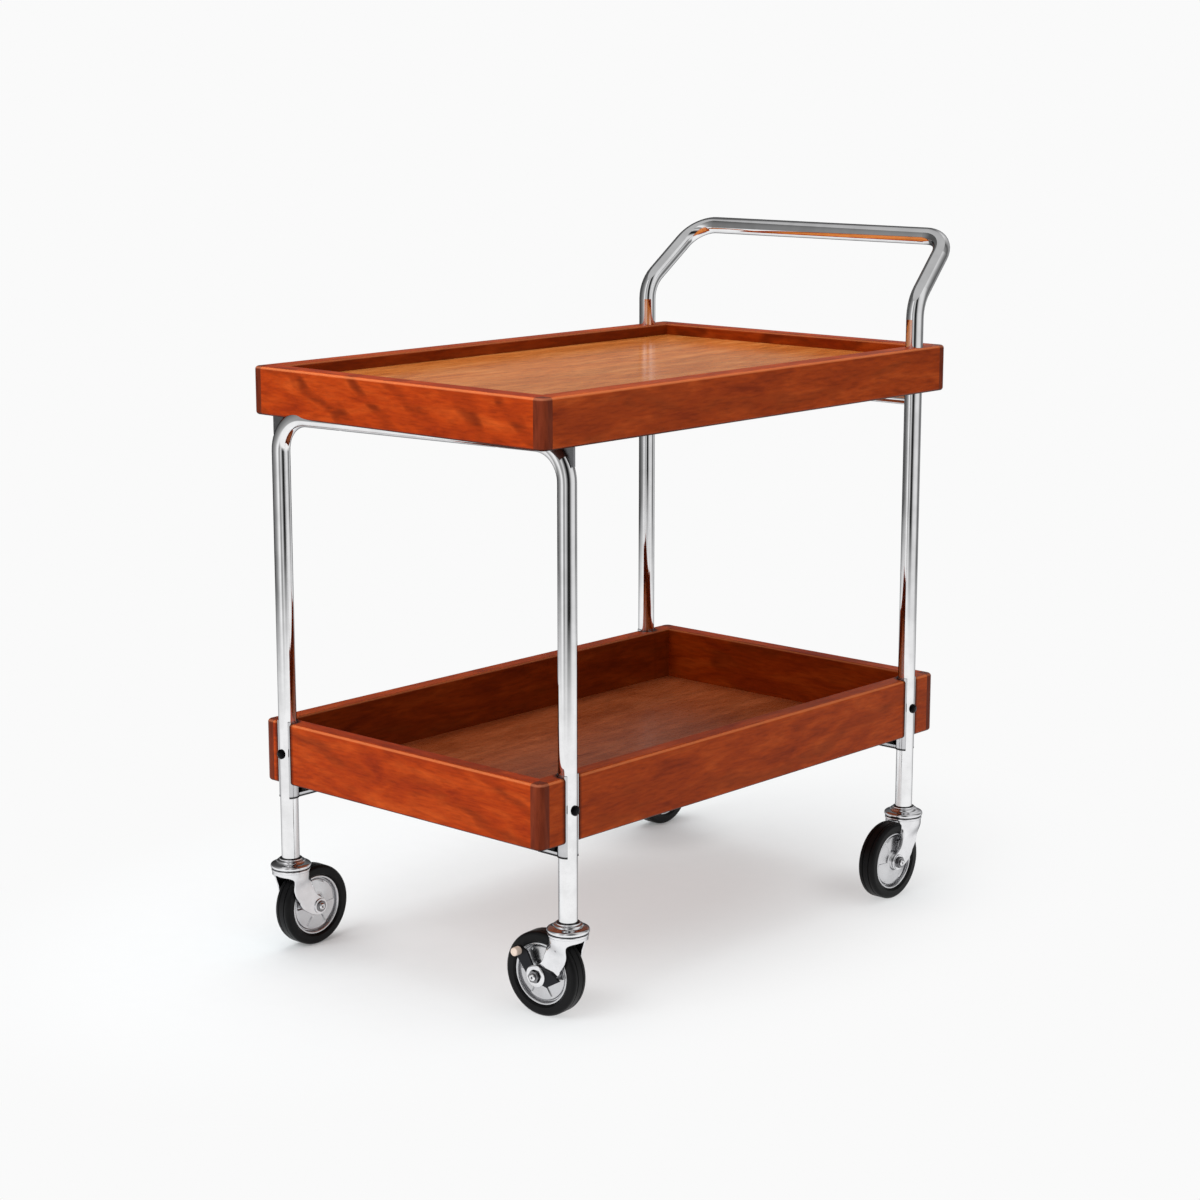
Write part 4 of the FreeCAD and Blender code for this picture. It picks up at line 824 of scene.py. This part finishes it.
# %% Forks
def placed(points, swivel, roll):
    """Points drawn about a swivel, in the frame of the cart.

    Their x is laid along the line from the leg's axis to the wheel, their y across it, and z stays up."""
    ahead = np.array(roll["pos_m"][:2]) - swivel["pos_m"][:2]
    ahead = ahead / np.linalg.norm(ahead)
    side = np.array((-ahead[1], ahead[0]))
    flat = MM * (points[:, :1] * ahead + points[:, 1:2] * side) + swivel["pos_m"][:2]
    return np.concatenate([flat, MM * points[:, 2:]], 1)


other_faces = [corners[::-1] for corners in half_faces]
# radius and height over the floor, in mm
crown_profile = eased(
    [(5.4, 101.6), (20.4, 101.6), (20.4, 100.4), (23.3, 100.4), (23.8, 101), (23.8, 103), (23.3, CROWN_MM),
     (5.4, CROWN_MM)],
    reach=0.4,
)
for body, swivel in swivels.items():
    leg = body.removeprefix("swivel_")
    roll = wheels["wheel_" + leg]
    near = (placed(half_points, swivel, roll), half_faces)
    far = (placed(half_points * (1, -1, 1), swivel, roll), other_faces)
    crown = turned(crown_profile, (*swivel["pos_m"][:2], 0), (0, 0, 1), segments=120)
    fork = assembled("pressed_fork_" + leg, [near, far, crown], chrome_cast, body)
    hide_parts("fork_" + leg)
print(len(swivels), "forks")

# %% [markdown]
# A bright washer lies under each axle nut and bolt head, on the outside of the fork's arm, and each end
# of the bolt is a small dome with a centre drilling. On the caster with the brake, a wide polished
# collar round the nut covers the lever's eye instead, so that only the lever's two wings show. Their
# places could be typed in, but how far out the nut, the head and the lever reach is measured on their own
# meshes, so the small pieces stay on them.

# %% Washers, bolt ends and brake collar
GAP_MM = 0.05
# radius and height over the face that carries the piece, in mm
washer = eased([(4.2, 0), (9.6, 0), (9.6, 1.3), (4.2, 1.3)], reach=0.3)
collar = eased([(7.8, 0), (12, 0), (13.2, 0.4), (13.2, 1), (11.6, 1.7), (7.8, 2)], reach=0.4)
bolt_end = eased(
    [(1.1, 0), (4.3, 0), (4.3, 0.5), (3.7, 1.3), (2.6, 1.8), (1.7, 1.7), (1.1, 1.1)], reach=0.4)
lever_middle = (np.array(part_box("brake_lever")[0]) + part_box("brake_lever")[1]) / 2


def furthest(label, centre, axis):
    """The furthest that a node's points lie along an axis from a centre, in mm."""
    mesh = nodes[label].data
    flat = np.empty(3 * len(mesh.vertices))
    mesh.vertices.foreach_get("co", flat)
    return ((flat.reshape(-1, 3) - centre) @ axis).max() / MM


for body, roll in wheels.items():
    leg = body.removeprefix("wheel_")
    rings, ends = [], []
    for axis in (np.array(roll["axis"]), -np.array(roll["axis"])):
        top = max(furthest(kind + leg, roll["pos_m"], axis) for kind in ("axle_bolt_", "axle_nut_"))
        ends.append(turned(bolt_end + (0, top), roll["pos_m"], axis, segments=48))
        if leg == "front_right" and np.dot(lever_middle - roll["pos_m"], axis) > 0:
            lever_face = furthest("brake_lever", roll["pos_m"], axis)
            print("the lever's face is", round(lever_face, 3), "mm out")
            rings.append(turned(collar + (0, lever_face + GAP_MM), roll["pos_m"], axis, segments=96))
        else:
            rings.append(turned(washer + (0, ARM_MM), roll["pos_m"], axis, segments=64))
        print(leg, "axle reaches", round(top, 2), "mm")
    assembled("axle_washers_" + leg, rings, chrome_cast, "swivel_" + leg)
    assembled("axle_bolt_ends_" + leg, ends, chrome_cast, "swivel_" + leg)

# %% [markdown]
# The studio is a white floor that runs out to a white background, so the cart seems to stand in plain
# light. A photographer would hang a roll of paper in a curve; a very wide flat sheet does the same here,
# because it is as white as the background long before its edge.

# %% Floor
FLOOR_HALF = 40.0
floor_mesh = bpy.data.meshes.new("studio_floor")
corners = np.array([(-1, -1, 0), (1, -1, 0), (1, 1, 0), (-1, 1, 0)]) * FLOOR_HALF
floor_mesh.from_pydata(corners.tolist(), [], [(0, 1, 2, 3)])
floor = bpy.data.objects.new("studio_floor", floor_mesh)
scene.collection.objects.link(floor)
print("floor", 2 * FLOOR_HALF, "m wide")

# %% [markdown]
# A glow is mixed into the paper as painted light, which keeps the shadow under the trays pale. Round the
# casters the glow is weaker, which paints a small dark shadow round each wheel. Under the cart it is weaker
# in an oval along the cart, which paints the shadow's shape, and past it the paper glows as white as the
# background. A picture laid over white could fake this from one side; a glow mixed into the paper holds
# from every side.

# %% Paper
BACKDROP = "FAFAFA"
FIBRE_MM = 25
FOOT_GAP = (0.03, 0.15)
FOOT_GLOW = (0.12, 0.46)
SHADOW_MIDDLE = (0, 0.13, 0)
SHADOW_STRETCH = (1.5, 1, 1)
SHADOW_END = (0.18, 0.62)
# matt white with a faint clouding, under a painted glow that sets its shadows
paper, tree = blank("white_studio_paper")
spot = add(tree, "TexCoord").outputs["Object"]
fibre = add(tree, "TexNoise", Vector=spot, Scale=1 / (FIBRE_MM * MM), Detail=4.0).outputs["Fac"]
white = add(
    tree, "ValToRGB", {"stops": ((0.3, linear("E8EDEF")), (0.7, linear("EAEFF1")))}, Fac=fibre
).outputs["Color"]
shader = add(tree, "BsdfPrincipled", Base_Color=white, Roughness=0.8, Specular_IOR_Level=0.1)
# painted shadow: the glow is weakest within a short distance of a foot
foot_gap = None
for leg_foot in legs:
    gap = add(tree, "VectorMath", {"operation": "DISTANCE"}, _0=spot, _1=leg_foot).outputs["Value"]
    if foot_gap is not None:
        gap = add(tree, "Math", {"operation": "MINIMUM"}, _0=gap, _1=foot_gap).outputs[0]
    foot_gap = gap
lit = add(
    tree,
    "MapRange",
    {"interpolation_type": "SMOOTHSTEP"},
    Value=foot_gap,
    From_Min=FOOT_GAP[0],
    From_Max=FOOT_GAP[1],
    To_Min=FOOT_GLOW[0],
    To_Max=FOOT_GLOW[1],
).outputs["Result"]
# painted shadow: the glow fades out in an oval under the cart
under = add(
    tree, "Mapping", {"vector_type": "TEXTURE"}, Vector=spot, Location=SHADOW_MIDDLE, Scale=SHADOW_STRETCH
).outputs["Vector"]
away = add(tree, "VectorMath", {"operation": "LENGTH"}, _0=under).outputs["Value"]
fade = add(
    tree,
    "MapRange",
    {"interpolation_type": "SMOOTHSTEP"},
    Value=away,
    From_Min=SHADOW_END[0],
    From_Max=SHADOW_END[1],
).outputs["Result"]
share = add(tree, "Mix", {"data_type": "FLOAT"}, _0=fade, _2=lit, _3=1.0).outputs[0]
glow = add(tree, "Emission", Color=linear(BACKDROP))
both = add(tree, "MixShader", _0=share, _1=shader.outputs["BSDF"], _2=glow.outputs["Emission"])
add(tree, "OutputMaterial", Surface=both.outputs["Shader"])
floor_mesh.materials.append(paper)
print("paper fades to", BACKDROP)

# %% [markdown]
# Polished chrome needs more than white: it shows whatever stands around it, so a round screen with light
# and dark panels stands about the cart, as a photographer would set up cards. A picture of a real room is
# the usual way, but a few listed greys give the tubes the lines they have in the photograph. Each pair
# below is an angle round the cart and the grey of the panel there. Near the floor the screen fades to
# white. Only mirror rays see it.

# %% Screen for the chrome
SCREEN_RADIUS = 1.55
SCREEN_HEIGHT = 2.4
SCREEN_STEPS = 96
SKIRT = (0.02, 0.22)
SKIRT_HEX = "F4F4F4"
PANELS = (
    (0, 240), (12, 225), (24, 125), (60, 110), (78, 84), (104, 88), (123, 120), (140, 140), (156, 176),
    (168, 235), (178, 255), (188, 160), (198, 150), (208, 225), (219, 140), (228, 30), (240, 16), (248, 90),
    (257, 180), (267, 220), (280, 225), (292, 230), (306, 215), (318, 140), (332, 90), (346, 180), (360, 240))
angle = np.linspace(0, 2 * np.pi, SCREEN_STEPS + 1)[:, None]
ring = np.broadcast_arrays(
    SCREEN_RADIUS * np.cos(angle), SCREEN_RADIUS * np.sin(angle), (0.0, SCREEN_HEIGHT))
strips = np.arange(SCREEN_STEPS)[:, None] * 2 + np.array((0, 1, 3, 2))
screen_mesh = bpy.data.meshes.new("chrome_screen")
screen_mesh.from_pydata(np.stack(ring, -1).reshape(-1, 3).tolist(), [], strips.tolist())
screen = bpy.data.objects.new("chrome_screen", screen_mesh)
scene.collection.objects.link(screen)
panels, tree = blank("light_and_dark_panels")
spot = add(tree, "SeparateXYZ", Vector=add(tree, "TexCoord").outputs["Object"])
turn = add(tree, "Math", {"operation": "ARCTAN2"}, _0=spot.outputs["Y"], _1=spot.outputs["X"]).outputs[0]
rounds = add(tree, "Math", {"operation": "DIVIDE"}, _0=turn, _1=2 * math.pi).outputs[0]
share = add(tree, "Math", {"operation": "FRACT"}, _0=rounds).outputs[0]
stops = [(degree / 360, linear(f"{tone:02X}" * 3)) for degree, tone in PANELS]
tones = add(tree, "ValToRGB", {"stops": stops}, Fac=share).outputs["Color"]
low = add(
    tree, "MapRange", Value=spot.outputs["Z"], From_Min=SKIRT[0], From_Max=SKIRT[1]
).outputs["Result"]
mixed = add(tree, "Mix", {"data_type": "RGBA"}, _0=low, _6=linear(SKIRT_HEX), _7=tones).outputs[2]
glow = add(tree, "Emission", Color=mixed)
add(tree, "OutputMaterial", Surface=glow.outputs["Emission"])
screen_mesh.materials.append(panels)
for kind in ("camera", "diffuse", "transmission", "shadow", "volume_scatter"):
    setattr(screen, "visible_" + kind, False)
print("screen of", len(PANELS), "tones")

# %% [markdown]
# A wide soft light hangs on the left, which keeps the trays' front faces brighter than their long sides.
# One above lights the panels and rims, and a weak one fills the right side. A sun or a spot would cast
# hard shadows, which the photograph doesn't have. The lamps themselves don't show in the chrome, which has
# its screen for that.

# %% Lights
def soft_light(name, place, target, size, watts):
    """A square area light that looks at a point."""
    data = bpy.data.lights.new(name, "AREA")
    data.energy = watts
    data.size = size
    light = bpy.data.objects.new(name, data)
    light.location = place
    light.rotation_mode = "QUATERNION"
    light.rotation_quaternion = (Vector(target) - Vector(place)).to_track_quat("-Z", "Y")
    light.visible_glossy = False
    scene.collection.objects.link(light)


soft_light("key_softbox", place=(-2.8, 0.2, 1.9), target=(0, 0, 0.5), size=2.0, watts=66)
soft_light("top_softbox", place=(0.2, 0.4, 3.0), target=(0, 0, 0.4), size=2.4, watts=54)
soft_light("side_fill", place=(-0.9, -2.9, 1.6), target=(-0.2, 0, 0.5), size=1.6, watts=9)

# %% [markdown]
# The room adds an even grey from all round, and the camera sees the same white behind the cart as the paper
# fades to. A white room could be both, but it would wash out the shadows, so the light path tells the two
# apart. The Standard view keeps the colours as they were noted, where a film-like one would soften them.

# %% Room
ROOM_GREY = (0.5, 0.5, 0.5, 1)
world = bpy.data.worlds.new("studio_room")
scene.world = world
world.use_nodes = True
tree = world.node_tree
tree.nodes.clear()
seen = add(tree, "LightPath").outputs["Is Camera Ray"]
shown = add(tree, "Mix", {"data_type": "RGBA"}, _0=seen, _6=ROOM_GREY, _7=linear(BACKDROP)).outputs[2]
back = add(tree, "Background", Color=shown)
add(tree, "OutputWorld", Surface=back.outputs["Background"])
scene.view_settings.view_transform = "Standard"
print("room in", scene.view_settings.view_transform, "view")
